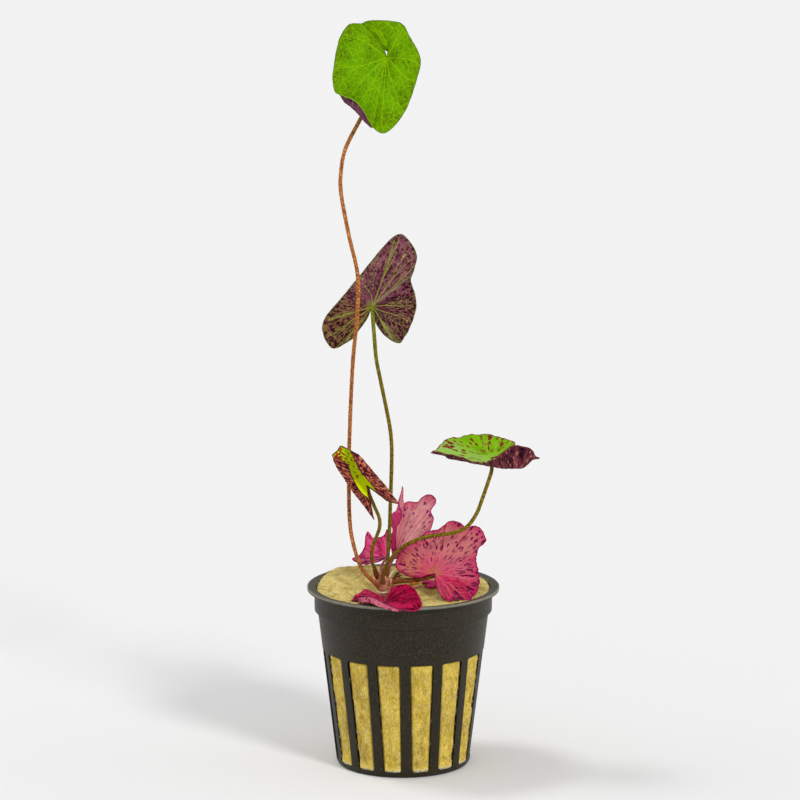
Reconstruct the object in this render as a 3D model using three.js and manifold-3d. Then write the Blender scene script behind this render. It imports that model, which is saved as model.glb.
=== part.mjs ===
// Red tiger lotus rooted in a rockwool plug, in a black slotted nursery pot.
// Millimetres, +Z up. The origin is the centre of the pot's flat base; -Y is the front.
import * as THREE from 'three';
import { mergeVertices } from 'three/addons/utils/BufferGeometryUtils.js';
import Module from 'manifold-3d';

const GAP = 0.3; // clearance between neighbouring solids

// Pot
const POT_HEIGHT = 51.6;
const WALL = 0.8;
const BASE_RADIUS = 19.1;
const BASE_EDGE = 1.0; // rounding of the base's edge
const STEP_HEIGHT = 44.9; // where the tapered wall steps out into the collar
const STEP_RADIUS = 24.5; // outside of the tapered wall at the step
const COLLAR_RADIUS = 25.4;
const RIM_RADIUS = 27.5;
const RIM_THICKNESS = 0.9;
const SIDES = 60; // facets round the pot, four for each slot
const SLOT_COUNT = 15;
const SLOT_ANGLE = THREE.MathUtils.degToRad(14.6);
const SLOT_BOTTOM = 1.6;
const SLOT_TOP = 33.9;
const SLOT_CORNER = 0.9;
const SLOT_TURN = THREE.MathUtils.degToRad(14.2); // from the front to the next slot's middle
const DRAIN_COUNT = 5; // each below the rib between two slots
const DRAIN_TURN = SLOT_TURN - Math.PI / SLOT_COUNT - Math.PI / 2;
const DRAIN_WIDTH = 3;
const DRAIN_INNER = 6;
const DRAIN_OUTER = 15;

// Rockwool plug
const PLUG_LEVEL = 49.6; // height of its top away from the lumps
const PLUG_LUMPS = [
  // centre x, y, height over the level, spread
  [-14, 12, 3, 9.5],
  [17, 3, 0.8, 7],
  [2, 16, 1.0, 9],
  [-5, -8, -3.1, 5],
];

// Leaves
const LEAF_THICKNESS = 0.6;
const STALK_SIDES = 6;

const wasm = await Module();
wasm.setup();

const { degToRad } = THREE.MathUtils;
const v3 = (p) => new THREE.Vector3(...p);
const wallRadius = (z) => BASE_RADIUS + ((STEP_RADIUS - BASE_RADIUS) * z) / STEP_HEIGHT;

// ---------- solids ----------

function shared(geometry) {
  const plain = geometry.clone();
  plain.deleteAttribute('normal');
  plain.deleteAttribute('uv');
  return mergeVertices(plain, 1e-4);
}

function solidOf(geometry) {
  const merged = shared(geometry);
  return new wasm.Manifold(new wasm.Mesh({
    numProp: 3,
    vertProperties: new Float32Array(merged.attributes.position.array),
    triVerts: new Uint32Array(merged.index.array),
  }));
}

function geometryOf(solid) {
  const mesh = solid.getMesh();
  const geometry = new THREE.BufferGeometry();
  geometry.setAttribute('position', new THREE.BufferAttribute(mesh.vertProperties, 3));
  geometry.setIndex(new THREE.BufferAttribute(mesh.triVerts, 1));
  return geometry;
}

const cut = (body, tools) => tools.reduce((left, tool) => left.subtract(solidOf(tool)), body);
const join = (geometries) => geometries.map(solidOf).reduce((all, one) => all.add(one));

function facingOut(geometry) {
  // turns every triangle round if the closed surface points inwards
  const p = geometry.attributes.position;
  const index = geometry.index.array;
  const [a, b, c] = [new THREE.Vector3(), new THREE.Vector3(), new THREE.Vector3()];
  let volume = 0;
  for (let i = 0; i < index.length; i += 3) {
    a.fromBufferAttribute(p, index[i]);
    b.fromBufferAttribute(p, index[i + 1]);
    c.fromBufferAttribute(p, index[i + 2]);
    volume += a.dot(b.cross(c));
  }
  if (volume < 0) geometry.setIndex(Array.from(index).reverse());
  return geometry;
}

function gridSolid(rows, columns, at, bottomPole, topPole) {
  // a closed surface from rings of points: ring 0 closes on the bottom pole, the last on the top
  const positions = [...bottomPole, ...topPole];
  const index = [];
  for (let r = 0; r < rows; r++) {
    for (let c = 0; c < columns; c++) positions.push(...at(r, c));
  }
  const id = (r, c) => 2 + r * columns + (c % columns);
  for (let c = 0; c < columns; c++) {
    index.push(0, id(0, c + 1), id(0, c), 1, id(rows - 1, c), id(rows - 1, c + 1));
    for (let r = 0; r < rows - 1; r++) {
      index.push(id(r, c), id(r, c + 1), id(r + 1, c + 1));
      index.push(id(r, c), id(r + 1, c + 1), id(r + 1, c));
    }
  }
  const geometry = new THREE.BufferGeometry();
  geometry.setAttribute('position', new THREE.Float32BufferAttribute(positions, 3));
  geometry.setIndex(index);
  return facingOut(geometry);
}

// ---------- pot ----------

function potShell() {
  const inner = (z) => wallRadius(z) - WALL;
  const collarInner = COLLAR_RADIUS - WALL;
  const profile = [
    [0, 0],
    [BASE_RADIUS - BASE_EDGE, 0],
    [wallRadius(BASE_EDGE), BASE_EDGE],
    [STEP_RADIUS, STEP_HEIGHT],
    [COLLAR_RADIUS, STEP_HEIGHT + 0.4],
    [COLLAR_RADIUS + 0.1, POT_HEIGHT - RIM_THICKNESS],
    [RIM_RADIUS, POT_HEIGHT - RIM_THICKNESS],
    [RIM_RADIUS - 0.2, POT_HEIGHT],
    [collarInner, POT_HEIGHT - 0.2],
    [collarInner, STEP_HEIGHT],
    [inner(STEP_HEIGHT), STEP_HEIGHT - 0.6],
    [inner(WALL), WALL],
    [0, WALL],
  ];
  const lathe = new THREE.LatheGeometry(profile.map(([r, z]) => new THREE.Vector2(r, z)), SIDES);
  return facingOut(shared(lathe.rotateX(Math.PI / 2)));
}

function slotTool(turn) {
  // a tapering window with rounded corners, run through the wall from inside to outside
  const half = (z) => wallRadius(z) * Math.tan(SLOT_ANGLE / 2);
  const [low, high, r] = [SLOT_BOTTOM, SLOT_TOP, SLOT_CORNER];
  const outline = new THREE.Shape();
  outline.moveTo(-half(low) + r, low);
  outline.lineTo(half(low) - r, low);
  outline.quadraticCurveTo(half(low), low, half(low + r), low + r);
  outline.lineTo(half(high - r), high - r);
  outline.quadraticCurveTo(half(high), high, half(high) - r, high);
  outline.lineTo(-half(high) + r, high);
  outline.quadraticCurveTo(-half(high), high, -half(high - r), high - r);
  outline.lineTo(-half(low + r), low + r);
  outline.quadraticCurveTo(-half(low), low, -half(low) + r, low);
  const settings = { depth: 2 * WALL + STEP_RADIUS - BASE_RADIUS + 2, bevelEnabled: false, curveSegments: 1 };
  const window = new THREE.ExtrudeGeometry(outline, settings);
  window.rotateX(Math.PI / 2).translate(0, -BASE_RADIUS + 3 * WALL, 0);
  return window.rotateZ(turn);
}

function drainTool(turn) {
  const half = DRAIN_WIDTH / 2;
  const outline = new THREE.Shape();
  outline.moveTo(DRAIN_INNER, -half);
  outline.lineTo(DRAIN_OUTER, -half);
  outline.absarc(DRAIN_OUTER, 0, half, -Math.PI / 2, Math.PI / 2);
  outline.lineTo(DRAIN_INNER, half);
  outline.absarc(DRAIN_INNER, 0, half, Math.PI / 2, 1.5 * Math.PI);
  const settings = { depth: 2 + WALL, bevelEnabled: false, curveSegments: 2 };
  return new THREE.ExtrudeGeometry(outline, settings).translate(0, 0, -1).rotateZ(turn);
}

function pot() {
  const tools = [];
  for (let i = 0; i < SLOT_COUNT; i++) tools.push(slotTool(SLOT_TURN + (2 * Math.PI * i) / SLOT_COUNT));
  for (let i = 0; i < DRAIN_COUNT; i++) tools.push(drainTool(DRAIN_TURN + (2 * Math.PI * i) / DRAIN_COUNT));
  return geometryOf(cut(solidOf(potShell()), tools));
}

// ---------- rockwool ----------

function plugTop(x, y) {
  // a low dome made of a level and a few soft lumps
  let z = PLUG_LEVEL;
  for (const [cx, cy, height, spread] of PLUG_LUMPS) {
    z += height * Math.exp(-((x - cx) ** 2 + (y - cy) ** 2) / (spread * spread));
  }
  return z;
}

function plug() {
  const inner = (z) => wallRadius(z) - WALL - GAP;
  const swell = WALL; // the wool stands nearly flush in the slots
  const foot = degToRad(1.1);
  const brow = degToRad(1.5);
  const half = SLOT_ANGLE / 2;
  const offsets = [-half + foot, -half + brow, half - brow, half - foot];
  const levels = [
    { z: WALL + GAP },
    { z: SLOT_BOTTOM + 2 * GAP },
    { z: SLOT_BOTTOM + 3 * GAP, full: true },
    { z: SLOT_TOP - 3 * GAP, full: true },
    { z: SLOT_TOP - 2 * GAP },
  ];
  const rings = [1, 0.92, 0.55].map((share) => share * inner(PLUG_LEVEL));
  const columns = 4 * SLOT_COUNT;
  const angle = (c) => SLOT_TURN + (2 * Math.PI * Math.floor(c / 4)) / SLOT_COUNT + offsets[c % 4];
  const at = (row, c) => {
    const a = angle(c) - Math.PI / 2;
    if (row < levels.length) {
      const { z, full } = levels[row];
      const r = inner(z) + (full && (c % 4 === 1 || c % 4 === 2) ? swell : 0);
      return [r * Math.cos(a), r * Math.sin(a), z];
    }
    const ring = row - levels.length;
    const [x, y] = [rings[ring] * Math.cos(a), rings[ring] * Math.sin(a)];
    return [x, y, plugTop(x, y) - (ring === 0 ? 1 : 0)];
  };
  const rows = levels.length + rings.length;
  return gridSolid(rows, columns, at, [0, 0, WALL + GAP], [0, 0, plugTop(0, 0)]);
}

// ---------- stalks ----------

function tube(points, radius, steps) {
  const section = new THREE.Shape();
  for (let i = 0; i < STALK_SIDES; i++) {
    const a = (2 * Math.PI * i) / STALK_SIDES;
    section[i ? 'lineTo' : 'moveTo'](radius * Math.cos(a), radius * Math.sin(a));
  }
  const extrudePath = new THREE.CatmullRomCurve3(points.map(v3));
  return new THREE.ExtrudeGeometry(section, { steps, extrudePath, bevelEnabled: false });
}

function socketFor({ points, radius, steps }) {
  // the room that a stalk needs in its neighbours: wider by the gap, and longer by it at both ends
  const path = points.map(v3);
  const past = (end, before) => end.clone().sub(before).setLength(GAP).add(end);
  const longer = [past(path[0], path[1]), ...path.slice(1, -1), past(path.at(-1), path.at(-2))];
  return tube(longer.map((p) => p.toArray()), radius + GAP, steps);
}

// ---------- leaves ----------

function leafSurface({ attach, spokes, lift = 0 }) {
  // every spoke runs from the attachment by a near and a far point to a margin point; curves join
  // the near points, the far points and the margin points round the blade
  const root = v3(attach);
  const tos = spokes.map(({ to }) => v3(to));
  const normal = new THREE.Vector3();
  for (let i = 1; i < tos.length; i++) {
    normal.add(tos[i - 1].clone().sub(root).cross(tos[i].clone().sub(root)));
  }
  normal.setLength(Math.abs(lift)).multiplyScalar(Math.sign(lift));
  const fars = spokes.map(({ to, by }) => (by ? v3(by) : root.clone().lerp(v3(to), 0.65).add(normal)));
  const nears = spokes.map(({ near }, i) => (near ? v3(near) : root.clone().lerp(fars[i], 0.5).add(normal)));
  const rings = [nears, fars, tos].map((ring) => new THREE.CatmullRomCurve3(ring));
  return (u, v) => new THREE.CatmullRomCurve3([root, ...rings.map((ring) => ring.getPoint(u))]).getPoint(v);
}

function blade(leaf) {
  // a thin closed shell: the surface carried half the thickness to each side, with an edge wall
  const { columns, rows } = leaf;
  const surface = leafSurface(leaf);
  const points = [];
  for (let c = 0; c <= columns; c++) {
    points.push([]);
    for (let r = 0; r <= rows; r++) points[c].push(surface(c / columns, r / rows));
  }
  const normalAt = (c, r) => {
    const along = points[Math.min(c + 1, columns)][r].clone().sub(points[Math.max(c - 1, 0)][r]);
    const out = points[c][Math.min(r + 1, rows)].clone().sub(points[c][r - 1]);
    return along.cross(out).normalize();
  };
  const poleNormal = new THREE.Vector3();
  for (let c = 0; c <= columns; c++) poleNormal.add(normalAt(c, 1));
  poleNormal.normalize();
  const positions = [];
  for (const side of [1, -1]) {
    const shift = (side * LEAF_THICKNESS) / 2;
    positions.push(...points[0][0].clone().addScaledVector(poleNormal, shift).toArray());
    for (let c = 0; c <= columns; c++) {
      for (let r = 1; r <= rows; r++) {
        positions.push(...points[c][r].clone().addScaledVector(normalAt(c, r), shift).toArray());
      }
    }
  }
  const sheet = 1 + (columns + 1) * rows;
  const id = (side, c, r) => side * sheet + (r === 0 ? 0 : 1 + c * rows + r - 1);
  const index = [];
  for (let c = 0; c < columns; c++) {
    index.push(id(0, c, 0), id(0, c, 1), id(0, c + 1, 1), id(1, c, 0), id(1, c + 1, 1), id(1, c, 1));
    for (let r = 1; r < rows; r++) {
      index.push(id(0, c, r), id(0, c, r + 1), id(0, c + 1, r + 1));
      index.push(id(0, c, r), id(0, c + 1, r + 1), id(0, c + 1, r));
      index.push(id(1, c, r), id(1, c + 1, r + 1), id(1, c, r + 1));
      index.push(id(1, c, r), id(1, c + 1, r), id(1, c + 1, r + 1));
    }
  }
  const border = [];
  for (let r = 0; r < rows; r++) border.push([0, r]);
  for (let c = 0; c < columns; c++) border.push([c, rows]);
  for (let r = rows; r > 0; r--) border.push([columns, r]);
  border.forEach(([c, r], i) => {
    const [nextC, nextR] = border[(i + 1) % border.length];
    index.push(id(0, c, r), id(1, nextC, nextR), id(0, nextC, nextR));
    index.push(id(0, c, r), id(1, c, r), id(1, nextC, nextR));
  });
  const geometry = new THREE.BufferGeometry();
  geometry.setAttribute('position', new THREE.Float32BufferAttribute(positions, 3));
  geometry.setIndex(index);
  return facingOut(geometry);
}

// ---------- the plant ----------

// Each leaf's points are in place: the attachment, then the spokes round the blade from one side
// of the notch to the other. `by` is a point that a spoke passes on its way, where it bends.

const TALL_LEAF = {
  columns: 30,
  rows: 4,
  lift: 0.4,
  attach: [-4.7, 3, 202.8],
  spokes: [
    { to: [-11.5, 0.5, 212.5], by: [-6.9, 1.2, 207.4] },
    { to: [-15, 0, 212.3] },
    { to: [-17.4, -0.5, 209.3] },
    { to: [-19.4, -1.5, 200.9] },
    { to: [-19.6, -2.2, 196.5] },
    { to: [-18.9, -2.6, 193.8] },
    { to: [-14.4, -4.5, 192.1], by: [-14.9, -1.5, 190.1] },
    { to: [-12.1, -4.8, 190.7], by: [-12, -1.3, 187.8] },
    { to: [-9.8, -4, 187.4], by: [-9.5, -1, 185] },
    { to: [-7.4, -1.8, 183.1] },
    { to: [-5.3, -1.2, 182.2] },
    { to: [-2.9, -0.5, 183.6] },
    { to: [0.2, 0.3, 187.5] },
    { to: [2.3, 0.6, 192.2] },
    { to: [3.7, 1, 196.8] },
    { to: [4.8, 1.5, 201] },
    { to: [4.4, 1.6, 203.8] },
    { to: [1.9, 2.4, 208.5] },
    { to: [-0.2, 3.2, 212] },
    { to: [-2, 3.6, 212.7] },
    { to: [-10.2, 4, 212.8], by: [-5, 3.7, 208.4] },
    { to: [-11.6, 3.9, 211.8], by: [-6.1, 3.6, 207.6] },
  ],
};
const MIDDLE_LEAF = {
  columns: 30,
  rows: 4,
  lift: 0.2,
  attach: [-8.7, 2, 132.3],
  spokes: [
    { to: [-14.3, 0.5, 123.3], by: [-10.8, 1, 128.2] },
    { to: [-16.8, 0.5, 121.8] },
    { to: [-19.8, 0.8, 120.5] },
    { to: [-21.8, 1.2, 122.4] },
    { to: [-22.9, 1.8, 126.4] },
    { to: [-22.1, 2.2, 129] },
    { to: [-16.8, 3.2, 135.4] },
    { to: [-10.7, 4.2, 142.9] },
    { to: [-4.7, 5.6, 149.9] },
    { to: [-2.5, 6, 151.8] },
    { to: [-0.6, 6.2, 152.4] },
    { to: [2.2, 5.8, 149.8] },
    { to: [3.8, 4.6, 146.2] },
    { to: [3, 3, 143] },
    { to: [2.2, 0.6, 139.7] },
    { to: [3.3, 0.6, 135.8] },
    { to: [3.6, 0.2, 132.5] },
    { to: [2.7, -0.6, 129] },
    { to: [0.4, -2, 124.3] },
    { to: [-0.9, -2.5, 122.7] },
    { to: [-3.3, -2, 123.2] },
    { to: [-5.7, -1, 125.1], by: [-8, 0.8, 128.2] },
  ],
};
const ROLLED_LEAF = {
  columns: 28,
  rows: 4,
  lift: 0,
  attach: [-10.3, -2.6, 81.4],
  spokes: [
    { to: [-8.3, -4.9, 71.9], by: [-8.6, -5.1, 74.7], near: [-9.4, -4.7, 77.9] },
    { to: [-8.5, -6.2, 73], by: [-9.8, -5.1, 74.3] },
    { to: [-8.8, -6.8, 76.1], by: [-11, -5.2, 76] },
    { to: [-10, -7, 78.3], by: [-12.3, -4.8, 77.7] },
    { to: [-12.1, -7.2, 80.6], by: [-14.6, -4.6, 80.7] },
    { to: [-14.2, -7.2, 84.4], by: [-16.8, -4.4, 84.1] },
    { to: [-15.5, -7, 87.8], by: [-18.7, -4.2, 87] },
    { to: [-17.1, -5.5, 89.3], by: [-19.8, -3.3, 89.6] },
    { to: [-20.2, -3.2, 90.3], by: [-16.3, -1.6, 86.8] },
    { to: [-18.8, -2.8, 91.7], by: [-14.6, -0.9, 86.9] },
    { to: [-17.7, -2.6, 93.1], by: [-13.4, -1.1, 87.5] },
    { to: [-16.6, -3.4, 92.8], by: [-12.8, -2.3, 87] },
    { to: [-15.3, -4.5, 92.3], by: [-13.2, -3, 90.3] },
    { to: [-14.3, -6.2, 91], by: [-12.9, -3.8, 90.8] },
    { to: [-12, -7.2, 87.1], by: [-10, -4.6, 87.7] },
    { to: [-10.1, -7.2, 84.8], by: [-7.4, -4.8, 84.6] },
    { to: [-7.9, -7.2, 82.1], by: [-4.8, -5, 81.5] },
    { to: [-5.4, -7, 79.7], by: [-2.9, -5.7, 79] },
    { to: [-1.5, -5.6, 77.1], by: [-5.1, -4.8, 79] },
    { to: [-4.5, -5.2, 77.2], by: [-7.5, -3.5, 79.6] },
  ],
};
const SIDE_LEAF = {
  columns: 30,
  rows: 4,
  lift: -0.4,
  attach: [25, -2, 89.3],
  spokes: [
    { to: [31.5, 2.5, 91.5], by: [28.2, 0.6, 90.2] },
    { to: [31.8, 5, 92.7] },
    { to: [28.7, 7.5, 93.1] },
    { to: [25.2, 9, 93.9] },
    { to: [21.4, 10, 93.8] },
    { to: [16.8, 9.5, 93.3] },
    { to: [12.5, 7.5, 92.8] },
    { to: [9.5, 3.5, 90.9] },
    { to: [7.7, 0.2, 90.3] },
    { to: [9.7, -3.2, 91.3], by: [14.7, -1.8, 89.5] },
    { to: [12.1, -5.6, 91.5], by: [13, -3, 89.7] },
    { to: [15.2, -7.2, 91], by: [16.1, -4, 89.2] },
    { to: [18.3, -8.2, 90], by: [18.9, -4.8, 88.7] },
    { to: [21.6, -8.8, 89.4], by: [22.1, -5.2, 88.3] },
    { to: [24.7, -9, 89.7], by: [25.1, -5.6, 87.7] },
    { to: [27.7, -8.6, 91.2], by: [27.4, -6, 87.4] },
    { to: [29.6, -7.6, 92.3], by: [29.4, -5.8, 87.3] },
    { to: [31.7, -6.4, 93.6], by: [31.1, -5.4, 87.3] },
    { to: [34.6, -4.8, 93.2], by: [32.5, -5, 87.3] },
    { to: [36.5, -3.4, 92.2], by: [33.9, -4.4, 87.3] },
    { to: [37.8, -2.4, 90.1], by: [34.5, -3.4, 87.4] },
    { to: [38.7, -1.4, 89.1], by: [32.3, -1.4, 87.9] },
  ],
};
const PINK_RIGHT = {
  columns: 32,
  rows: 4,
  lift: -0.3,
  attach: [9, -4, 56],
  spokes: [
    { to: [0.6, -3, 55.3], by: [5.1, -4.4, 55] },
    { to: [-1.8, -1.4, 56.9] },
    { to: [-2, 0.4, 59.3] },
    { to: [-0.4, 1.8, 61.4] },
    { to: [2.5, 3, 63.4] },
    { to: [5.7, 4, 65.3] },
    { to: [8.1, 4.6, 66.9] },
    { to: [10.2, 3.6, 67.5] },
    { to: [12.9, 4.6, 69.2] },
    { to: [16.1, 5.4, 69] },
    { to: [17.9, 3.8, 67.8] },
    { to: [20.1, 4.2, 68.3] },
    { to: [22.3, 3.4, 67.1] },
    { to: [23.7, 2.4, 64.5] },
    { to: [21.9, 0.6, 63] },
    { to: [21, -0.6, 60.8] },
    { to: [20.8, -2.2, 58.5] },
    { to: [21.5, -4.4, 56.4] },
    { to: [21.6, -6.6, 54] },
    { to: [20.5, -9.4, 51.5] },
    { to: [17.9, -12, 50] },
    { to: [15.3, -11.6, 50.6] },
    { to: [13.2, -13.4, 50.3] },
    { to: [11.3, -12, 50.8] },
    { to: [9.9, -9.4, 52.3], by: [9.1, -5.6, 54.4] },
  ],
};
const PINK_REAR = {
  columns: 28,
  rows: 4,
  lift: 0.3,
  attach: [-2.8, 2.8, 59.1],
  spokes: [
    { to: [-2.2, 2.5, 61.1], by: [-3.6, 3, 61.8] },
    { to: [-2.3, 2.7, 64.4], by: [-3.7, 4.5, 64.4] },
    { to: [-1.6, 4, 68], by: [-3.1, 6.3, 68.1] },
    { to: [-0.2, 6, 71.3], by: [-2.8, 7.9, 71.1] },
    { to: [-1.1, 8.3, 73.6], by: [-2, 8.4, 71.2] },
    { to: [-0.5, 9.4, 78.8], by: [-1.3, 9.1, 72.2] },
    { to: [0.1, 10.6, 73.5], by: [-0.4, 9.1, 70.8] },
    { to: [1.8, 10.6, 74] },
    { to: [4.1, 9.6, 74.1] },
    { to: [5.4, 10.4, 75.3] },
    { to: [7, 10.6, 76.1] },
    { to: [8.3, 10.2, 75.9] },
    { to: [9.4, 9.6, 74.6] },
    { to: [8, 7.6, 72] },
    { to: [8.7, 7.6, 69.5] },
    { to: [8.1, 6.6, 67.1] },
    { to: [6.2, 5.4, 63.8] },
    { to: [2.8, 4.2, 60.6] },
    { to: [-0.1, 3.4, 58.6] },
  ],
};
const PINK_LEFT = {
  columns: 16,
  rows: 3,
  lift: 0.2,
  attach: [-4.8, 3.6, 59.2],
  spokes: [
    { to: [-9, 2.1, 58], by: [-6.5, 3, 58.2] },
    { to: [-11.2, 1.5, 57.5] },
    { to: [-12.5, 1.4, 57.8] },
    { to: [-14.6, 1, 59.1] },
    { to: [-12.3, 3, 60.2] },
    { to: [-11.1, 4.2, 62.3] },
    { to: [-10.9, 5.5, 64.3] },
    { to: [-10.1, 6.5, 66.1] },
    { to: [-8.6, 6.6, 64.2] },
    { to: [-5.8, 7.4, 64.5] },
    { to: [-4.5, 9, 66.2] },
    { to: [-3.2, 8.8, 64] },
    { to: [-3.4, 7.6, 61] },
  ],
};
const PINK_FRONT = {
  columns: 26,
  rows: 4,
  lift: 0.5,
  attach: [-5, -10, 48.7],
  spokes: [
    { to: [-9.3, -4, 51.3], by: [-6.9, -6.8, 50.6] },
    { to: [-10.9, -4, 51.7] },
    { to: [-12.4, -8.4, 51.4] },
    { to: [-13.7, -11.6, 51.4] },
    { to: [-14.6, -17, 51.3] },
    { to: [-11.6, -19.4, 53], by: [-12, -20.2, 51.8], near: [-8.5, -15.5, 50.6] },
    { to: [-9.1, -22.8, 54], by: [-9.2, -24, 52.5], near: [-7, -18.4, 51.3] },
    { to: [-6.5, -26.6, 53.8], by: [-6.4, -28, 52.3], near: [-5.6, -23.2, 52.4] },
    { to: [-4.1, -28.8, 53], by: [-3.8, -29.7, 51.9], near: [-4.2, -25.2, 52.6] },
    { to: [-0.9, -29.9, 52.2], by: [-0.8, -30.2, 51.6], near: [-1.8, -25.6, 52.8] },
    { to: [1.9, -30, 51.6], by: [1.4, -28, 52.5], near: [-0.2, -23.4, 52.3] },
    { to: [3.7, -29.8, 51.6], by: [2.8, -27.2, 52.6], near: [0.5, -21.4, 51.9] },
    { to: [5, -28.8, 52.1], by: [3.4, -25.4, 52.6], near: [0.5, -19.4, 51.4] },
    { to: [5.1, -22.8, 52.2] },
    { to: [4.3, -15.2, 52.5] },
    { to: [2.9, -9.4, 53.2] },
    { to: [0.6, -6.4, 53.4] },
    { to: [-1.8, -5.4, 53.1] },
    { to: [-3.4, -5.6, 52.3], by: [-4.4, -8, 50.6] },
  ],
};
const PINK_LOW = {
  columns: 9,
  rows: 2,
  lift: 0.2,
  attach: [7.4, 4.3, 51],
  spokes: [
    { to: [6, 2.4, 50.8] },
    { to: [7.2, 1.4, 50.7] },
    { to: [8.9, 1.4, 50.8] },
    { to: [10.6, 2.6, 51] },
    { to: [11, 5.4, 51.2] },
    { to: [9.2, 7.6, 51.3] },
    { to: [6.6, 7.6, 51.4] },
    { to: [5.1, 4.7, 51.1] },
  ],
};

const STALKS = {
  tall_stalk: {
    radius: 0.6,
    steps: 30,
    points: [
      [-6.3, -1.7, 52], [-7.9, -2.4, 53], [-10.5, -2.6, 55.5], [-12.2, -2.6, 58.1],
      [-13.7, -1.4, 62.1], [-14.9, 0.6, 67], [-15.4, 2, 72.3], [-15.5, 3, 86.3],
      [-15.3, 2.6, 94.8], [-14.2, -3, 117.8], [-12.8, -6, 132.9], [-12.8, -5.6, 142.5],
      [-15.4, -3.2, 154], [-17.6, 1, 165.7], [-17.6, 2.2, 169.8], [-16.4, 3.8, 176.6],
      [-11.6, 5.4, 186.1], [-8, 5.6, 193.8], [-5.1, 3.75, 201.8],
    ],
  },
  middle_stalk: {
    radius: 0.58,
    steps: 22,
    points: [
      [-5.1, 0.5, 53.6], [-4.5, 1, 58.8], [-4.1, 1.2, 64.4], [-3.7, 1.4, 74.6],
      [-3.3, 1.2, 91.3], [-3.7, 0.8, 96.9], [-6.3, -0.6, 110.8], [-7.6, -1, 117.5],
      [-8.2, -0.8, 124.3], [-8.7, 0.5, 130.8],
    ],
  },
  rolled_stalk: {
    radius: 0.55,
    steps: 16,
    points: [
      [-6.6, 0.2, 53], [-8.2, 0.1, 56.8], [-8.9, -0.2, 59], [-8.9, -0.8, 62.5], [-8.1, -1.2, 65.2],
      [-6.8, -1.6, 68.9], [-6.8, -1.8, 71.7], [-8.1, -1.8, 75], [-9.5, -1.6, 78.4], [-10, -1.8, 80.3],
    ],
  },
  side_stalk: {
    radius: 0.58,
    steps: 24,
    points: [
      [-5.6, -2.7, 52.4], [-5.8, -3.4, 55.3], [-5.2, -4, 57.9], [-3.5, -5, 60.8], [-0.9, -5.8, 63.7],
      [2.3, -6.4, 65.9], [6.6, -6.8, 67.5], [11, -6.8, 68.2], [15.3, -6.4, 68.9], [18.3, -5.8, 70.5],
      [20.8, -5, 73.9], [22.6, -4.2, 78.5], [24.3, -3.2, 83.3], [25.1, -2.6, 86], [25.1, -2.3, 87.9],
    ],
  },
  pink_stalk_right: {
    radius: 0.75,
    steps: 7,
    points: [[-4.4, -1.6, 53], [-0.6, -1.8, 53.5], [5.2, -2.4, 54.2], [8.3, -3, 55.3]],
  },
  pink_stalk_rear: { radius: 0.45, steps: 4, points: [[-4.6, 1.9, 53.8], [-4, 3.2, 56.4], [-3.1, 3.3, 58.6]] },
  pink_stalk_left: { radius: 0.4, steps: 4, points: [[-6.2, 1.8, 54], [-6.3, 2.8, 56.6], [-5.5, 3.5, 58]] },
  pink_stalk_front: { radius: 0.45, steps: 3, points: [[-5.2, -4.6, 48.4], [-5, -7.2, 47.8], [-5, -9.6, 47.9]] },
  pink_stalk_low: { radius: 0.4, steps: 6, points: [[-4, -0.4, 51.4], [1, 1.4, 50.6], [5, 3.2, 50.2], [6.8, 4, 50.05]] },
  old_stalk: { radius: 0.42, steps: 3, points: [[-7.2, -1.05, 53.7], [-8.1, -1.4, 55.3], [-8.6, -1.9, 57]] },
};

// lumps of the crown and its stub: centre x, y, z and half widths
const CROWN_LUMPS = [
  [-5.5, -1, 52.5, 2.6, 2.2, 2.7],
  [-5.4, -2.9, 48.6, 1, 1.2, 4],
];
const SHEATH_CENTRE = [-5.8, -3.1, 51.1]; // pale ring at the foot of the crown
const SHEATH_RADIUS = 1.95;
const SHEATH_TURNS = [-100, -60, -20, 20, 60, 100]; // degrees from the front
const SHEATH_THICKNESS = 0.22;
const SHOOTS = [
  // short young shoots between the crown and the large pink leaf: foot and tip
  [[-3.3, 0.5, 53.3], [-2.4, 1, 56.2]],
  [[-3.1, 0.3, 53.2], [-1.2, 0.6, 55.8]],
  [[-2.9, 0.1, 53.2], [-0.4, 0, 55]],
];
const SHOOT_RADIUS = 0.3;
const SCRAP_RADIUS = 0.45; // a dried, curled bit of leaf beside the crown
const SCRAP = [[1.7, -2.6, 51.7], [2.4, -3, 52.4], [3.6, -2.8, 52.6], [4.5, -2.4, 52.3]];

function lump([x, y, z, a, b, c]) {
  return new THREE.SphereGeometry(1, 8, 5).rotateX(Math.PI / 2).scale(a, b, c).translate(x, y, z);
}

function sheath(thickness) {
  // an open ring round the front of the crown's foot
  const [x, y, z] = SHEATH_CENTRE;
  const points = SHEATH_TURNS.map(degToRad).map((a) => [
    x + SHEATH_RADIUS * Math.sin(a),
    y - SHEATH_RADIUS * Math.cos(a),
    z - 0.25 * Math.cos(a),
  ]);
  return tube(points, thickness, 10);
}

function shoot([foot, tip], radius) {
  // a tapering point
  const cone = new THREE.ConeGeometry(radius, 1, 6).translate(0, 0.5, 0);
  const along = v3(tip).sub(v3(foot));
  const ahead = along.clone().normalize();
  const turn = new THREE.Quaternion().setFromUnitVectors(new THREE.Vector3(0, 1, 0), ahead);
  return cone.scale(1, along.length(), 1).applyQuaternion(turn).translate(...foot);
}

function crown() {
  const sockets = Object.values(STALKS).map(socketFor);
  const shoots = SHOOTS.map((ends) => shoot(ends, SHOOT_RADIUS + GAP));
  return cut(join(CROWN_LUMPS.map(lump)), [...sockets, sheath(SHEATH_THICKNESS + GAP), ...shoots]);
}

// ---------- the assembled object ----------

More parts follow.
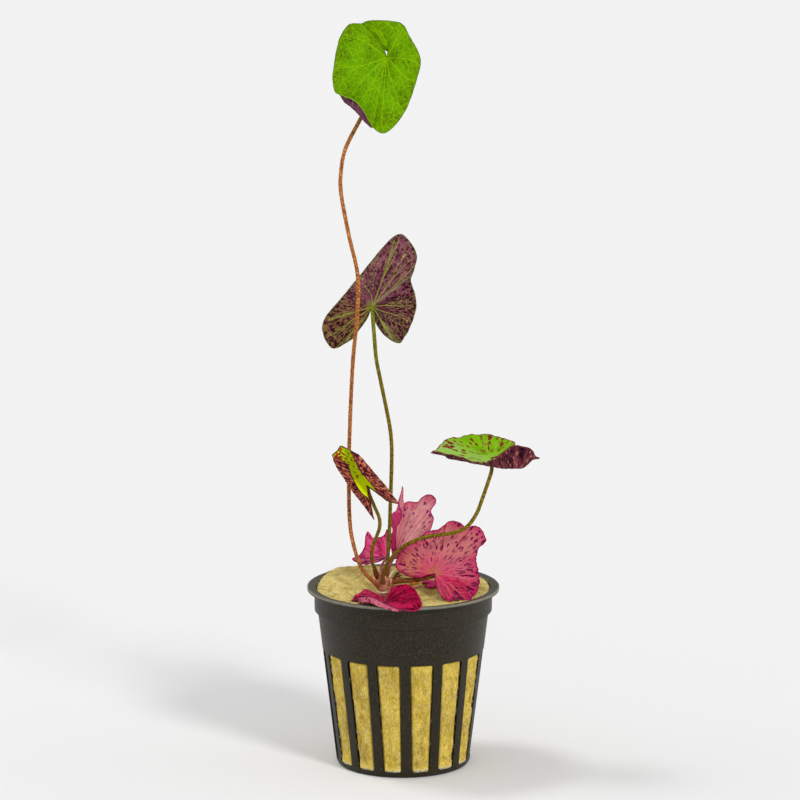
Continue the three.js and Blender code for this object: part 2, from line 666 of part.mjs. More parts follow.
const plastic = { color: 0x3e3a32, roughness: 0.55, metalness: 0 };
const wool = { color: 0xcdb964, roughness: 0.95, metalness: 0 };
const green = { color: 0x78aa0a, roughness: 0.5, metalness: 0 };
const purple = { color: 0x553241, roughness: 0.5, metalness: 0 };
const pink = { color: 0xd24b78, roughness: 0.45, metalness: 0 };
const olive = { color: 0x786e10, roughness: 0.45, metalness: 0 };
const amber = { color: 0xa56932, roughness: 0.5, metalness: 0 };
const cream = { color: 0xe6cda0, roughness: 0.5, metalness: 0 };

const group = new THREE.Group();

function place(name, geometry, finish) {
  const mesh = new THREE.Mesh(geometry, new THREE.MeshStandardMaterial(finish));
  mesh.name = name;
  group.add(mesh);
}

const crownSolid = crown();
const grownCrown = CROWN_LUMPS.map(([x, y, z, ...halves]) => lump([x, y, z, ...halves.map((h) => h + GAP)]));
const grownSheath = sheath(SHEATH_THICKNESS + GAP);

place('pot', pot(), plastic);
const grownStalks = ['pink_stalk_front', 'pink_stalk_low'].map((name) => socketFor(STALKS[name]));
place('rockwool', geometryOf(cut(solidOf(plug()), [...grownCrown, grownSheath, ...grownStalks])), wool);
place('crown', geometryOf(crownSolid), amber);
place('crown_sheath', shared(sheath(SHEATH_THICKNESS)), cream);

const stalkFinish = {
  tall_stalk: amber,
  old_stalk: amber,
  middle_stalk: olive,
  rolled_stalk: olive,
  side_stalk: olive,
};
for (const [name, { points, radius, steps }] of Object.entries(STALKS)) {
  place(name, shared(tube(points, radius, steps)), stalkFinish[name] ?? pink);
}
place('tall_leaf', blade(TALL_LEAF), green);
place('middle_leaf', blade(MIDDLE_LEAF), purple);
place('rolled_leaf', blade(ROLLED_LEAF), green);
place('side_leaf', blade(SIDE_LEAF), green);
place('pink_leaf_right', blade(PINK_RIGHT), pink);
place('pink_leaf_rear', blade(PINK_REAR), pink);
place('pink_leaf_left', blade(PINK_LEFT), pink);
place('pink_leaf_front', blade(PINK_FRONT), pink);
place('pink_leaf_low', blade(PINK_LOW), pink);
place('young_shoots', geometryOf(join(SHOOTS.map((ends) => shoot(ends, SHOOT_RADIUS)))), cream);
place('dried_scrap', shared(tube(SCRAP, SCRAP_RADIUS, 5)), amber);

export default group;
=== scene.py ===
"""Red tiger lotus rooted in a rockwool plug in a slotted net pot: the dressed model.

Lengths in the tables below are millimetres in the model's own frame: +Z up, the front at -Y.
"""

import math

import bpy
import numpy as np
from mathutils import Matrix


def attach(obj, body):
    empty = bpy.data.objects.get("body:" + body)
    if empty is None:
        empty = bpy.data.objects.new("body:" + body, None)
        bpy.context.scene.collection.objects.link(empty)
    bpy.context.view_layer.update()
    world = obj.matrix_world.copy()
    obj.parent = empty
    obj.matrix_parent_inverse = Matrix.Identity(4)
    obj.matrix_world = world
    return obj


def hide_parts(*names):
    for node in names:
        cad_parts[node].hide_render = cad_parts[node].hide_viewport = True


MM = 0.001
GAP = 0.3  # clearance between neighbouring pieces

# Pot
POT_HEIGHT = 51.6
WALL = 0.8
BASE_RADIUS = 19.1
BASE_EDGE = 1.0
STEP_HEIGHT = 44.9
STEP_RADIUS = 24.5
COLLAR_RADIUS = 25.4
RIM_RADIUS = 27.5
SLOT_COUNT = 15
SLOT_HALF = math.radians(8)
SLOT_GROW = math.radians(0.7)  # how much wider each half is at the slots' heads
SLOT_LEAN = math.radians(1.7)  # how far the slots turn on their way down
SLOT_SPAN = 2 * math.pi / SLOT_COUNT
RIB_TURN = math.radians(2.2)  # from the front to the first rib's middle
SLOT_BOTTOM = 1.6
SLOT_TOP = 33.9
SLOT_CORNER = 0.9  # the corners' radius
DRAIN_COUNT = 5
DRAIN_HALF = 1.5  # half a drain's width
DRAIN_INNER = 6  # a drain runs from this radius to the next
DRAIN_OUTER = 15

# The pot's grid: rings on the base, heights up the wall, and columns over half a rib
CORNER_STEPS = np.array([0, 0.08, 0.22, 0.42, 0.68, 1.0])
BASE_RINGS = np.concatenate([
    np.linspace(1.5, 4.2, 4), np.linspace(4.5, 6, 6), np.linspace(7, 14, 8),
    np.linspace(15, 16.5, 6), [17.3],
])
WALL_HEIGHTS = np.concatenate([
    [BASE_EDGE, 1.3], SLOT_BOTTOM + SLOT_CORNER * CORNER_STEPS,
    np.linspace(SLOT_BOTTOM + 2, SLOT_TOP - 2, 30), SLOT_TOP - SLOT_CORNER * CORNER_STEPS[::-1],
    np.linspace(SLOT_TOP + 0.8, STEP_HEIGHT - 0.5, 10),
])
RIB_COLUMNS = [0, 1.2, 2.2, 3.0, 3.6]
SLOT_RADIUS = 21.5  # the wall's mean radius, to turn millimetres into angles
SLOT_ROWS = (2, 43)  # the first and the last of the heights that a slot spans
DRAIN_ROWS = (4, 23)  # the first and the last of the rings that a drain spans

# Rockwool plug
PLUG_LEVEL = 50
PLUG_EDGE = 24.8  # its radius at the top
PLUG_LUMPS = [
    # centre x, y, height over the level, spread
    (-14, 12, 3, 9.5),
    (17, 3, 0.8, 7),
    (2, 16, 1.0, 9),
    (-5, -8, -3.1, 5),
    (17, -12, -1.4, 3.5),
    (-4, -13.5, -0.8, 4),
    (-13, -15, -1.1, 3.5),
]

# Leaves
BLADE = 0.3  # thickness
ROW_POWER = 0.85  # the power of the share out that brings a leaf's rows closer at its margin
NO_VEIN = 9.0  # the distance given to a point that no vein is near
VEIN_REACH = 14  # how many columns to each side a vein can show

# Each leaf is its attachment and its spokes round the blade, from one side of the notch to the
# other. A spoke gives its margin point, then where it bends the far and the near point that it
# passes on its way. `up` is +1 where the upper face is on the spokes' right-hand side.
TALL_LEAF = {
    "up": 1, "lift": 0.4, "attach": (-4.7, 3, 202.8),
    "spokes": [
        (-11.5, 0.5, 212.5, -6.8, 1.2, 207.4, -5.3, 2, 204.9), (-15, 0, 212.3),
        (-17.4, -0.5, 209.3), (-19.4, -1.5, 200.9), (-19.6, -2.2, 196.5),
        (-19, -2.6, 193.6, -16.9, -1.2, 194), (-16.8, -3.8, 192.9, -16.6, -1.6, 191.2),
        (-14.4, -4.5, 192, -14.4, -1.5, 189.2), (-12.1, -4.6, 190.4, -12.1, -1.3, 187),
        (-10.4, -3.6, 187.4, -10.3, -1.1, 184.9), (-8.8, -2.2, 184.3, -8.8, -0.9, 183.6),
        (-7.1, -1.4, 182.4, -7.2, -0.6, 184.8), (-5.3, -1.2, 182.1, -5.5, -0.3, 187),
        (-2.9, -0.5, 183.6), (0.2, 0.3, 187.5), (2.3, 0.6, 192.2), (3.7, 1, 196.8),
        (4.8, 1.5, 201), (4.4, 1.6, 203.8), (1.9, 2.4, 208.5), (-0.2, 3.2, 212), (-2, 3.6, 212.7),
        (-10.2, 4, 212.8, -5.6, 3.7, 208.3, -4.05, 3.5, 205.3),
        (-12, 3.9, 211.8, -6.6, 3.8, 205.6, -4.35, 3.5, 204.3),
    ],
}
MIDDLE_LEAF = {
    "up": 1, "lift": 0.2, "attach": (-8.7, 2, 132.3),
    "spokes": [
        (-14.3, 0.5, 123.3, -10.8, 1, 128.2), (-16.8, 0.5, 121.8), (-19.8, 0.8, 120.5),
        (-21.8, 1.2, 122.4), (-22.9, 1.8, 126.4), (-22.1, 2.2, 129), (-16.8, 3.2, 135.4),
        (-10.7, 4.2, 142.9), (-4.7, 5.6, 149.9), (-2.5, 6, 151.8), (-0.6, 6.2, 152.4),
        (2.2, 5.8, 149.8), (3.8, 4.6, 146.2), (3, 3, 143), (2.2, 0.6, 139.7), (3.3, 0.6, 135.8),
        (3.6, 0.2, 132.5), (2.7, -0.6, 129), (0.4, -2, 124.3), (-0.9, -2.5, 122.7),
        (-3.3, -2, 123.2), (-5.7, -1, 125.1, -8, 0.8, 128.2),
    ],
}
ROLLED_LEAF = {
    "up": -1, "lift": 0, "attach": (-10.3, -2.6, 81.4),
    "spokes": [
        (-9, -5.9, 76.2, -8.3, -5, 72.1, -9.4, -4.5, 77.9), (-9.1, -6.3, 76.8, -9.6, -5, 74.1),
        (-9.4, -6.5, 77.6, -11, -5, 76), (-10.3, -6.5, 78.9, -12.3, -4.8, 77.7),
        (-12.1, -6.5, 80.6, -14.6, -4.6, 80.7), (-14.2, -6.5, 84.4, -16.8, -4.4, 84.1),
        (-15.5, -6.3, 87.8, -18.7, -4.2, 87), (-17.1, -5.3, 89.3, -19.8, -3.5, 89.6),
        (-20.2, -3.4, 90.3, -16.3, -2.9, 86.8), (-18.8, -3, 91.7, -14.6, -2.5, 86.9),
        (-17.7, -3, 93.1, -13.4, -2.4, 87.5), (-16.6, -3.6, 92.8, -12.8, -2.8, 87.2),
        (-15.3, -4.5, 92.3, -13, -3.3, 90.3), (-14.3, -5.8, 91, -12.9, -3.8, 90.8),
        (-12.6, -6.5, 87.3, -10, -4.4, 87.7), (-11, -6.5, 85, -7.4, -4.6, 84.6),
        (-9, -6.5, 82.6, -4.8, -4.8, 81.5), (-7.6, -6.4, 80.7, -2.9, -5.4, 79),
        (-6.9, -6.2, 79.9, -1.6, -5.6, 77.1), (-6.8, -5.8, 79.5, -4.8, -5, 77.7),
    ],
}
SIDE_LEAF = {
    "up": 1, "lift": -0.4, "attach": (25, -2, 89.3),
    "spokes": [
        (31.5, 2.5, 91.5, 28.2, 0.6, 90.2), (31.8, 5, 92.7), (28.7, 7.5, 93.1), (25.2, 9, 93.9),
        (21.4, 10, 93.8), (16.8, 9.5, 93.3), (12.5, 7.5, 92.8), (9.5, 3.5, 90.9),
        (7.7, 0.2, 90.3), (9.7, -3.2, 91.3, 14.7, -1.8, 89.5), (12.1, -5.6, 91.5, 13, -3, 89.7),
        (15.2, -7.2, 91, 16.1, -4, 89.2), (18.3, -8.2, 90, 18.9, -4.8, 88.7),
        (21.6, -8.8, 89.4, 22.1, -5.2, 88.3), (24, -9, 89.7, 24.8, -5.6, 87.7),
        (26.7, -8.6, 91.2, 27.2, -6, 87.4), (28.5, -7.6, 92.5, 29.2, -5.8, 87.3),
        (30.8, -6.4, 93.8, 31.1, -5.4, 87.3), (34.6, -4.8, 93.2, 32.5, -5, 87.3),
        (36.5, -3.4, 92.2, 33.9, -4.4, 87.3), (37.8, -2.4, 90.1, 34.5, -3.4, 87.4),
        (38.7, -1.4, 89.1, 32.3, -1.4, 87.9),
    ],
}
PINK_RIGHT = {
    "up": -1, "lift": -0.3, "attach": (9, -4, 56),
    "spokes": [
        (0.6, -3, 55.3, 5.1, -4.4, 55), (-1.8, -1.4, 56.9), (-2, 0.4, 59.3), (-0.4, 1.8, 61.4),
        (2.5, 3, 63.4), (5.7, 4, 65.3), (8.1, 4.6, 66.9), (10.2, 3.6, 67.5), (12.9, 4.6, 69.2),
        (16.1, 5.4, 69), (17.9, 3.8, 67.8), (20.1, 4.2, 68.3), (22.3, 3.4, 67.1),
        (23.7, 2.4, 64.5), (21.9, 0.6, 63), (21, -0.6, 60.8), (20.8, -2.2, 58.5),
        (21.5, -4.4, 56.4), (21.6, -6.6, 54), (20.5, -9.4, 51.5), (17.9, -12, 50),
        (15.3, -11.6, 50.6), (13.2, -13.4, 50.3), (11.3, -12, 50.8),
        (9.9, -9.4, 52.3, 9.1, -5.6, 54.4),
    ],
}
PINK_REAR = {
    "up": -1, "lift": 0.3, "attach": (-2.8, 2.8, 59.1),
    "spokes": [
        (-2.2, 2.5, 61.1, -3.6, 3, 61.8), (-2.3, 2.7, 64.4, -3.7, 4.5, 64.4),
        (-1.6, 4, 68, -3.1, 6.3, 68.1), (-0.2, 6, 71.3, -2.8, 7.9, 71.1),
        (-1.1, 8.3, 73.6, -2, 8.4, 71.2), (-0.5, 9.4, 78.8, -1.3, 9.1, 72.2),
        (0.1, 10.6, 73.5, -0.4, 9.1, 70.8), (1.8, 10.6, 74), (4.1, 9.6, 74.1), (5.4, 10.4, 75.3),
        (7, 10.6, 76.1), (8.3, 10.2, 75.9), (9.4, 9.6, 74.6), (8, 7.6, 72), (8.7, 7.6, 69.5),
        (8.1, 6.6, 67.1), (6.2, 5.4, 63.8), (2.8, 4.2, 60.6), (-0.1, 3.4, 58.6),
    ],
}
PINK_LEFT = {
    "up": -1, "lift": 0.2, "attach": (-4.8, 3.6, 59.2),
    "spokes": [
        (-9, 2.1, 58, -6.5, 3, 58.2), (-11.2, 1.5, 57.5), (-12.5, 1.4, 57.8), (-14.6, 1, 59.1),
        (-12.3, 3, 60.2), (-11.1, 4.2, 62.3), (-10.9, 5.5, 64.3), (-10.1, 6.5, 66.1),
        (-8.6, 6.6, 64.2), (-5.8, 7.4, 64.5), (-4.5, 9, 66.2), (-3.2, 8.8, 64), (-3.4, 7.6, 61),
    ],
}
PINK_FRONT = {
    "up": 1, "lift": 0.5, "attach": (-5, -10, 48.7),
    "spokes": [
        (-9.3, -4, 51.3, -6.9, -6.8, 50.6), (-10.9, -4, 51.7), (-12.4, -8.4, 51.4),
        (-13.7, -11.6, 51.4), (-14.6, -17, 51.3),
        (-11.6, -19.4, 53, -12, -20.2, 51.8, -8.5, -15.5, 50.6),
        (-9.1, -22.8, 54, -9.2, -24, 52.5, -7, -18.4, 51.3),
        (-6.5, -26.6, 53.8, -6.4, -28, 52.3, -5.6, -23.2, 52.4),
        (-4.1, -28.8, 53, -3.8, -29.7, 51.9, -4.2, -25.2, 52.6),
        (-0.9, -29.9, 52.2, -0.8, -30.2, 51.6, -1.8, -25.6, 52.8),
        (1.9, -30, 51.6, 1.4, -28, 52.5, -0.2, -23.4, 52.3),
        (3.7, -29.8, 51.6, 2.8, -27.2, 52.6, 0.5, -21.4, 51.9),
        (5, -28.8, 52.1, 3.4, -25.4, 52.6, 0.5, -19.4, 51.4), (5.1, -22.8, 52.2),
        (4.3, -15.2, 52.5), (2.9, -9.4, 53.2), (0.6, -6.4, 53.4), (-1.8, -5.4, 53.1),
        (-3.4, -5.6, 52.3, -4.4, -8, 50.6),
    ],
}
PINK_LOW = {
    "up": 1, "lift": 0.2, "attach": (7.4, 4.3, 51),
    "spokes": [
        (6, 2.4, 50.8), (7.2, 1.4, 50.7), (8.9, 1.4, 50.8), (10.6, 2.6, 51), (11, 5.4, 51.2),
        (9.2, 7.6, 51.3), (6.6, 7.6, 51.4), (5.1, 4.7, 51.1),
    ],
}

# Each stalk: radius, the extra radius that its foot has at the crown, and its path.
STALKS = {
    "tall_stalk": (0.56, 0.3, [
        (-6.3, -1.7, 52), (-7.9, -2.4, 53), (-10.5, -2.6, 55.5), (-12.2, -2.6, 58.1),
        (-13.7, -1.4, 62.1), (-14.9, 0.6, 67), (-15.4, 2, 72.3), (-15.5, 3, 86.3),
        (-15.3, 2.6, 94.8), (-14.2, -3, 117.8), (-12.8, -6, 132.9), (-12.8, -5.6, 142.5),
        (-15.4, -3.2, 154), (-17.6, 1, 165.7), (-17.6, 2.2, 169.8), (-16.4, 3.8, 176.6),
        (-11.6, 5.4, 186.1), (-8, 5.6, 193.8), (-5.1, 3.75, 201.8), (-4.8, 3.2, 202.6),
    ]),
    "middle_stalk": (0.54, 0.25, [
        (-5.1, 0.5, 53.6), (-4.5, 1, 58.8), (-4.1, 1.2, 64.4), (-3.7, 1.4, 74.6),
        (-3.3, 1.2, 91.3), (-3.7, 0.8, 96.9), (-6.3, -0.6, 110.8), (-7.6, -1, 117.5),
        (-8.2, -0.8, 124.3), (-8.7, 0.5, 130.8), (-8.7, 1.8, 132.2),
    ]),
    "rolled_stalk": (0.5, 0.2, [
        (-6.6, 0.2, 53), (-8.2, 0.1, 56.8), (-8.9, -0.2, 59), (-8.9, -0.8, 62.5),
        (-8.1, -1.2, 65.2), (-6.8, -1.6, 68.9), (-6.8, -1.8, 71.7), (-8.1, -1.8, 75),
        (-9.5, -1.6, 78.4), (-10, -1.8, 80.3), (-10.3, -2.4, 81.2),
    ]),
    "side_stalk": (0.54, 0.3, [
        (-5.6, -2.7, 52.4), (-5.8, -3.4, 55.3), (-5.2, -4, 57.9), (-3.5, -5, 60.8),
        (-0.9, -5.8, 63.7), (2.3, -6.4, 65.9), (6.6, -6.8, 67.5), (11, -6.8, 68.2),
        (15.3, -6.4, 68.9), (18.3, -5.8, 70.5), (20.8, -5, 73.9), (22.6, -4.2, 78.5),
        (24.3, -3.2, 83.3), (25.1, -2.6, 86), (25.1, -2.3, 87.9), (25, -2.05, 89),
    ]),
    "pink_stalk_right": (0.7, 0.3, [
        (-4.4, -1.6, 53), (-0.6, -1.8, 53.5), (5.2, -2.4, 54.2), (8.3, -3, 55.3), (9, -3.8, 55.9),
    ]),
    "pink_stalk_rear": (0.4, 0.3, [
        (-4.6, 1.9, 53.8), (-4, 3.2, 56.4), (-3.1, 3.3, 58.6), (-2.85, 2.95, 59),
    ]),
    "pink_stalk_left": (0.34, 0.3, [
        (-6.2, 1.8, 54), (-6.3, 2.8, 56.6), (-5.5, 3.5, 58), (-4.9, 3.65, 59),
    ]),
    "pink_stalk_front": (0.45, 0.2, [
        (-5.2, -4.1, 48.5), (-5, -7.2, 47.8), (-5, -9.6, 47.9), (-5, -10.1, 48.5),
    ]),
    "pink_stalk_low": (0.36, 0.3, [
        (-4, -0.4, 51.4), (1, 1.4, 50.6), (5, 3.2, 50.2), (6.8, 4, 50.05), (7.4, 4.3, 50.85),
    ]),
}

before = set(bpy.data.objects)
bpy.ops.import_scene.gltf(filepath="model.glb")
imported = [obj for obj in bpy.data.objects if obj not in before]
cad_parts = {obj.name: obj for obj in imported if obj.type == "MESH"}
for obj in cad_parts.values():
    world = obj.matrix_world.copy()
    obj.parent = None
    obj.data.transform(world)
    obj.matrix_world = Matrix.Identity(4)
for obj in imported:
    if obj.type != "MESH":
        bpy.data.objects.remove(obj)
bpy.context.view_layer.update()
random = np.random.default_rng(20)


# ---------- numbers ----------


def smooth(x, low, high):
    """0 below `low`, 1 above `high`, and the cubic 3t^2 - 2t^3 between them."""
    t = np.clip((np.asarray(x, float) - low) / (high - low), 0, 1)
    return t * t * (3 - 2 * t)


def lattice_noise(points, cell, seed):
    """Smooth noise from -1 to 1: a random number at each corner of a cubic lattice, blended between
    the eight corners round a point by the product of cubic steps along x, y and z."""
    place = np.asarray(points, float) / cell + 31.7  # off the lattice's own zero
    corner = np.floor(place).astype(np.int64)
    part = place - corner
    part = part * part * (3 - 2 * part)
    total = np.zeros(place.shape[:-1])
    for step in np.ndindex(2, 2, 2):
        x, y, z = np.moveaxis(corner + step, -1, 0)
        mixed = x * 73856093 ^ y * 19349663 ^ z * 83492791 ^ seed * 2654435761
        mixed = (mixed ^ (mixed >> 13)) * 1274126177
        value = ((mixed ^ (mixed >> 16)) & 0xFFFF) / 32767.5 - 1
        total += value * np.prod(np.where(step, part, 1 - part), axis=-1)
    return total


def layered_noise(points, cell, seed):
    """Noise of the given cell, of half that at half the strength, and of a quarter at a quarter."""
    return sum(lattice_noise(points, cell / 2**k, seed + k) / 2**k for k in range(3))


def curve(points, at):
    """Points of a smooth curve through the given ones, at shares `at` of the way. Each span is a
    cubic whose end slopes weigh the neighbouring spans by the square root of their lengths; beyond
    the ends the first and last spans are mirrored."""
    points = np.asarray(points, float)
    before = 2 * points[..., :1, :] - points[..., 1:2, :]
    after = 2 * points[..., -1:, :] - points[..., -2:-1, :]
    full = np.concatenate([before, points, after], axis=-2)
    spans = points.shape[-2] - 1
    place = np.asarray(at, float) * spans
    k = np.clip(np.floor(place).astype(int), 0, spans - 1)
    t = (place - k)[:, None]
    p0, p1, p2, p3 = (full[..., k + i, :] for i in range(4))
    d0, d1, d2 = (
        np.sqrt(np.maximum(np.linalg.norm(b - a, axis=-1, keepdims=True), 1e-9))
        for a, b in ((p0, p1), (p1, p2), (p2, p3))
    )
    s1 = ((p1 - p0) / d0 - (p2 - p0) / (d0 + d1) + (p2 - p1) / d1) * d1
    s2 = ((p2 - p1) / d1 - (p3 - p1) / (d1 + d2) + (p3 - p2) / d2) * d1
    return p1 + t * (s1 + t * (3 * (p2 - p1) - 2 * s1 - s2 + t * (s1 + s2 - 2 * (p2 - p1))))


def unit(vectors):
    """The vectors, each divided by its length."""
    return vectors / np.maximum(np.linalg.norm(vectors, axis=-1, keepdims=True), 1e-9)


def around(radius, turn, z):
    """Points at a radius, a turn from the front and a height: (r sin a, -r cos a, z)."""
    return np.stack([radius * np.sin(turn), -radius * np.cos(turn), z], -1)


def circle(steps):
    """Evenly spaced angles all round."""
    return np.linspace(0, 2 * math.pi, steps, endpoint=False)


# ---------- meshes ----------


def grid_quads(rows, columns, wrap=False):
    """Quads between neighbouring points of a grid, wrapped round the columns or not."""
    number = np.arange(rows * columns).reshape(rows, columns)
    right = np.roll(number, -1, 1)
    quads = np.stack([number[:-1], right[:-1], right[1:], number[1:]], -1)
    return (quads if wrap else quads[:, :-1]).reshape(-1, 4)


def band(one, two):
    """Quads between two closed rings of points."""
    return np.stack([one, two, np.roll(two, -1), np.roll(one, -1)], 1)


def fan(centre, ring):
    """Triangles from one point to each side of a closed ring of points."""
    return np.stack([np.full(len(ring), centre), ring, np.roll(ring, -1)], 1)


def capped(rows, columns):
    """Faces round rings of points, closed at both ends by a fan from the two points that follow."""
    first = np.arange(columns)
    last = (rows - 1) * columns + first
    count = rows * columns
    return [grid_quads(rows, columns, wrap=True), fan(count, first[::-1]), fan(count + 1, last)]


def volume(points, faces):
    """Six times the signed volume inside the faces: triple products summed over triangles."""
    total = 0
    for block in faces:
        for k in range(2, block.shape[1]):
            a, b, c = points[block[:, 0]], points[block[:, k - 1]], points[block[:, k]]
            total += np.einsum("ij,ij->", a, np.cross(b, c))
    return total


def make_piece(name, points, faces, materials, groups=None, values=None, sharp=None):
    """A mesh object from points in millimetres and blocks of triangles or quads. `groups` gives
    each block's material, `values` what each point carries, `sharp` the angle of a sharp edge."""
    points = np.asarray(points, float)
    if volume(points, faces) < 0:
        faces = [block[:, ::-1] for block in faces]
    mesh = bpy.data.meshes.new(name)
    mesh.vertices.add(len(points))
    mesh.vertices.foreach_set("co", (points * MM).astype(np.float32).ravel())
    corners = np.concatenate([block.ravel() for block in faces]).astype(np.int32)
    sizes = np.concatenate([np.full(len(block), block.shape[1]) for block in faces])
    mesh.loops.add(len(corners))
    mesh.loops.foreach_set("vertex_index", corners)
    mesh.polygons.add(len(sizes))
    mesh.polygons.foreach_set("loop_start", (np.cumsum(sizes) - sizes).astype(np.int32))
    if groups:
        kinds = np.concatenate([np.full(len(block), g) for block, g in zip(faces, groups)])
        mesh.polygons.foreach_set("material_index", kinds.astype(np.int32))
    for key, data in (values or {}).items():
        data = np.asarray(data, np.float32)
        layer = mesh.attributes.new(key, "FLOAT" if data.ndim == 1 else "FLOAT_VECTOR", "POINT")
        layer.data.foreach_set("value" if data.ndim == 1 else "vector", data.ravel())
    mesh.update(calc_edges=True)
    mesh.shade_smooth()
    if sharp:
        mesh.set_sharp_from_angle(angle=math.radians(sharp))
    for material in materials:
        mesh.materials.append(material)
    piece = bpy.data.objects.new(name, mesh)
    bpy.context.collection.objects.link(piece)
    return piece


def dress(piece, slot, *nodes):
    """The piece rides on the model's one body and stands for the nodes, which are hidden. The slot
    is not used.
    """
    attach(piece, "root")
    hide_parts(*nodes)


# ---------- materials ----------


def linear(colour):
    """A display colour, written as 0xRRGGBB, as the linear colour that a shader takes."""
    parts = [(colour >> shift & 255) / 255 for shift in (16, 8, 0)]
    parts = [v / 12.92 if v <= 0.04045 else ((v + 0.055) / 1.055) ** 2.4 for v in parts]
    return (*parts, 1.0)


class Term:
    """A socket that arithmetic can be written with."""

    def __init__(self, paint, socket):
        self.paint, self.socket = paint, socket

    def math(self, operation, *terms):
        """The operation's result for the terms, each a socket or a number."""
        return self.paint.node("ShaderNodeMath", {"operation": operation}, dict(enumerate(terms)))

    def __add__(self, other):
        return self.math("ADD", self, other)

    __radd__ = __add__

    def __mul__(self, other):
        return self.math("MULTIPLY", self, other)

    __rmul__ = __mul__

    def __sub__(self, other):
        return self.math("SUBTRACT", self, other)

    def __rsub__(self, other):
        return self.math("SUBTRACT", other, self)

    def __pow__(self, other):
        return self.math("POWER", self, other)

    def step(self, low, high):
        """0 below `low`, 1 above `high`, smooth between; turned round if low is the greater."""
        ends = (low, high, 0.0, 1.0) if low < high else (high, low, 1.0, 0.0)
        inputs = dict(enumerate((self, *ends)))
        return self.paint.node("ShaderNodeMapRange", {"interpolation_type": "SMOOTHSTEP"}, inputs)


class Paint:
    """One material: its nodes are added by the calls below."""

    def __init__(self, name):
        self.material = bpy.data.materials.new(name)
        self.material.use_nodes = True
        self.tree = self.material.node_tree
        self.tree.nodes.clear()

    def node(self, kind, settings=None, inputs=None, out=0):
        """Adds a node: its settings first, then its sockets' values, links or display colours."""
        made = self.tree.nodes.new(kind)
        for key, value in (settings or {}).items():
            setattr(made, key, value)
        for key, value in (inputs or {}).items():
            if isinstance(value, Term):
                self.tree.links.new(value.socket, made.inputs[key])
            elif made.inputs[key].type == "RGBA":
                made.inputs[key].default_value = linear(value)
            else:
                made.inputs[key].default_value = value
        return Term(self, made.outputs[out]) if made.outputs else None

    def place(self):
        """The point's place in the model, in millimetres."""
        spot = self.node("ShaderNodeTexCoord", out="Object")
        return self.vector("SCALE", spot, scale=1 / MM)

    def carried(self, name, out="Vector"):
        """What the mesh's points carry under that name."""
        return self.node("ShaderNodeAttribute", {"attribute_name": name}, out=out)

    def vector(self, operation, a, b=None, scale=None):
        """The operation's result for one or two vectors, or for a vector and a number."""
        inputs = {0: a}
        if b is not None:
            inputs[1] = b
        if scale is not None:
            inputs["Scale"] = scale
        return self.node("ShaderNodeVectorMath", {"operation": operation}, inputs)

    def parts(self, vector):
        """The three numbers of a vector."""
        split = self.node("ShaderNodeSeparateXYZ", None, {0: vector}).socket.node
        return [Term(self, split.outputs[k]) for k in range(3)]

    def joined(self, x, y, z):
        """A vector of three numbers."""
        return self.node("ShaderNodeCombineXYZ", None, {0: x, 1: y, 2: z})

    def noise(self, at, cell, detail=2.0, rough=0.5, out=0):
        """Cloudy noise, about 0.3 to 0.7, with spots of about `cell`."""
        inputs = {"Vector": at, "Scale": 1 / cell, "Detail": detail, "Roughness": rough}
        return self.node("ShaderNodeTexNoise", None, inputs, out)

    def cells(self, at, cell, feature="F1", out="Distance"):
        """Cells on the flat, about `cell` wide: the distance to a cell's middle or edge, or its
        colour."""
        settings = {"voronoi_dimensions": "2D", "feature": feature}
        return self.node("ShaderNodeTexVoronoi", settings, {"Vector": at, "Scale": 1 / cell}, out)

    def shaken(self, at, cell, by):
        """The place moved about by noise, so that lines and spots on it waver."""
        drift = self.vector("SUBTRACT", self.noise(at, cell, out="Color"), (0.5, 0.5, 0.5))
        return self.vector("ADD", at, self.vector("SCALE", drift, scale=by))

    def mix(self, share, a, b):
        """Colour a where the share is 0, b where it is 1."""
        return self.node("ShaderNodeMix", {"data_type": "RGBA"}, {0: share, 6: a, 7: b}, 2)

    def finish(self, colour, roughness, height=None, depth=0.0, through=0.0, **fixed):
        """Ends the material: a shiny or matt surface, with `height` in millimetres times `depth` as
        relief, and a share of light that comes through from behind."""
        inputs = {"Base Color": colour, "Roughness": roughness}
        inputs.update({key.replace("_", " "): value for key, value in fixed.items()})
        if height is not None:
            bump = {"Height": height, "Distance": depth * MM, "Strength": 1.0}
            inputs["Normal"] = self.node("ShaderNodeBump", None, bump)
        shader = self.node("ShaderNodeBsdfPrincipled", None, inputs)
        if through:
            glow = self.node("ShaderNodeBsdfTranslucent", None, {"Color": colour})
            shader = self.node("ShaderNodeMixShader", None, {0: through, 1: shader, 2: glow})
        self.node("ShaderNodeOutputMaterial", None, {0: shader})
        return self.material


def within(turn, turns):
    """1 within the half width of a middle turn and 0 beyond, or 1 all round if not given."""
    if not turns:
        return 1.0
    aside = turn - turns[0]
    return (aside * aside).step((turns[1] + 0.3) ** 2, turns[1] ** 2)


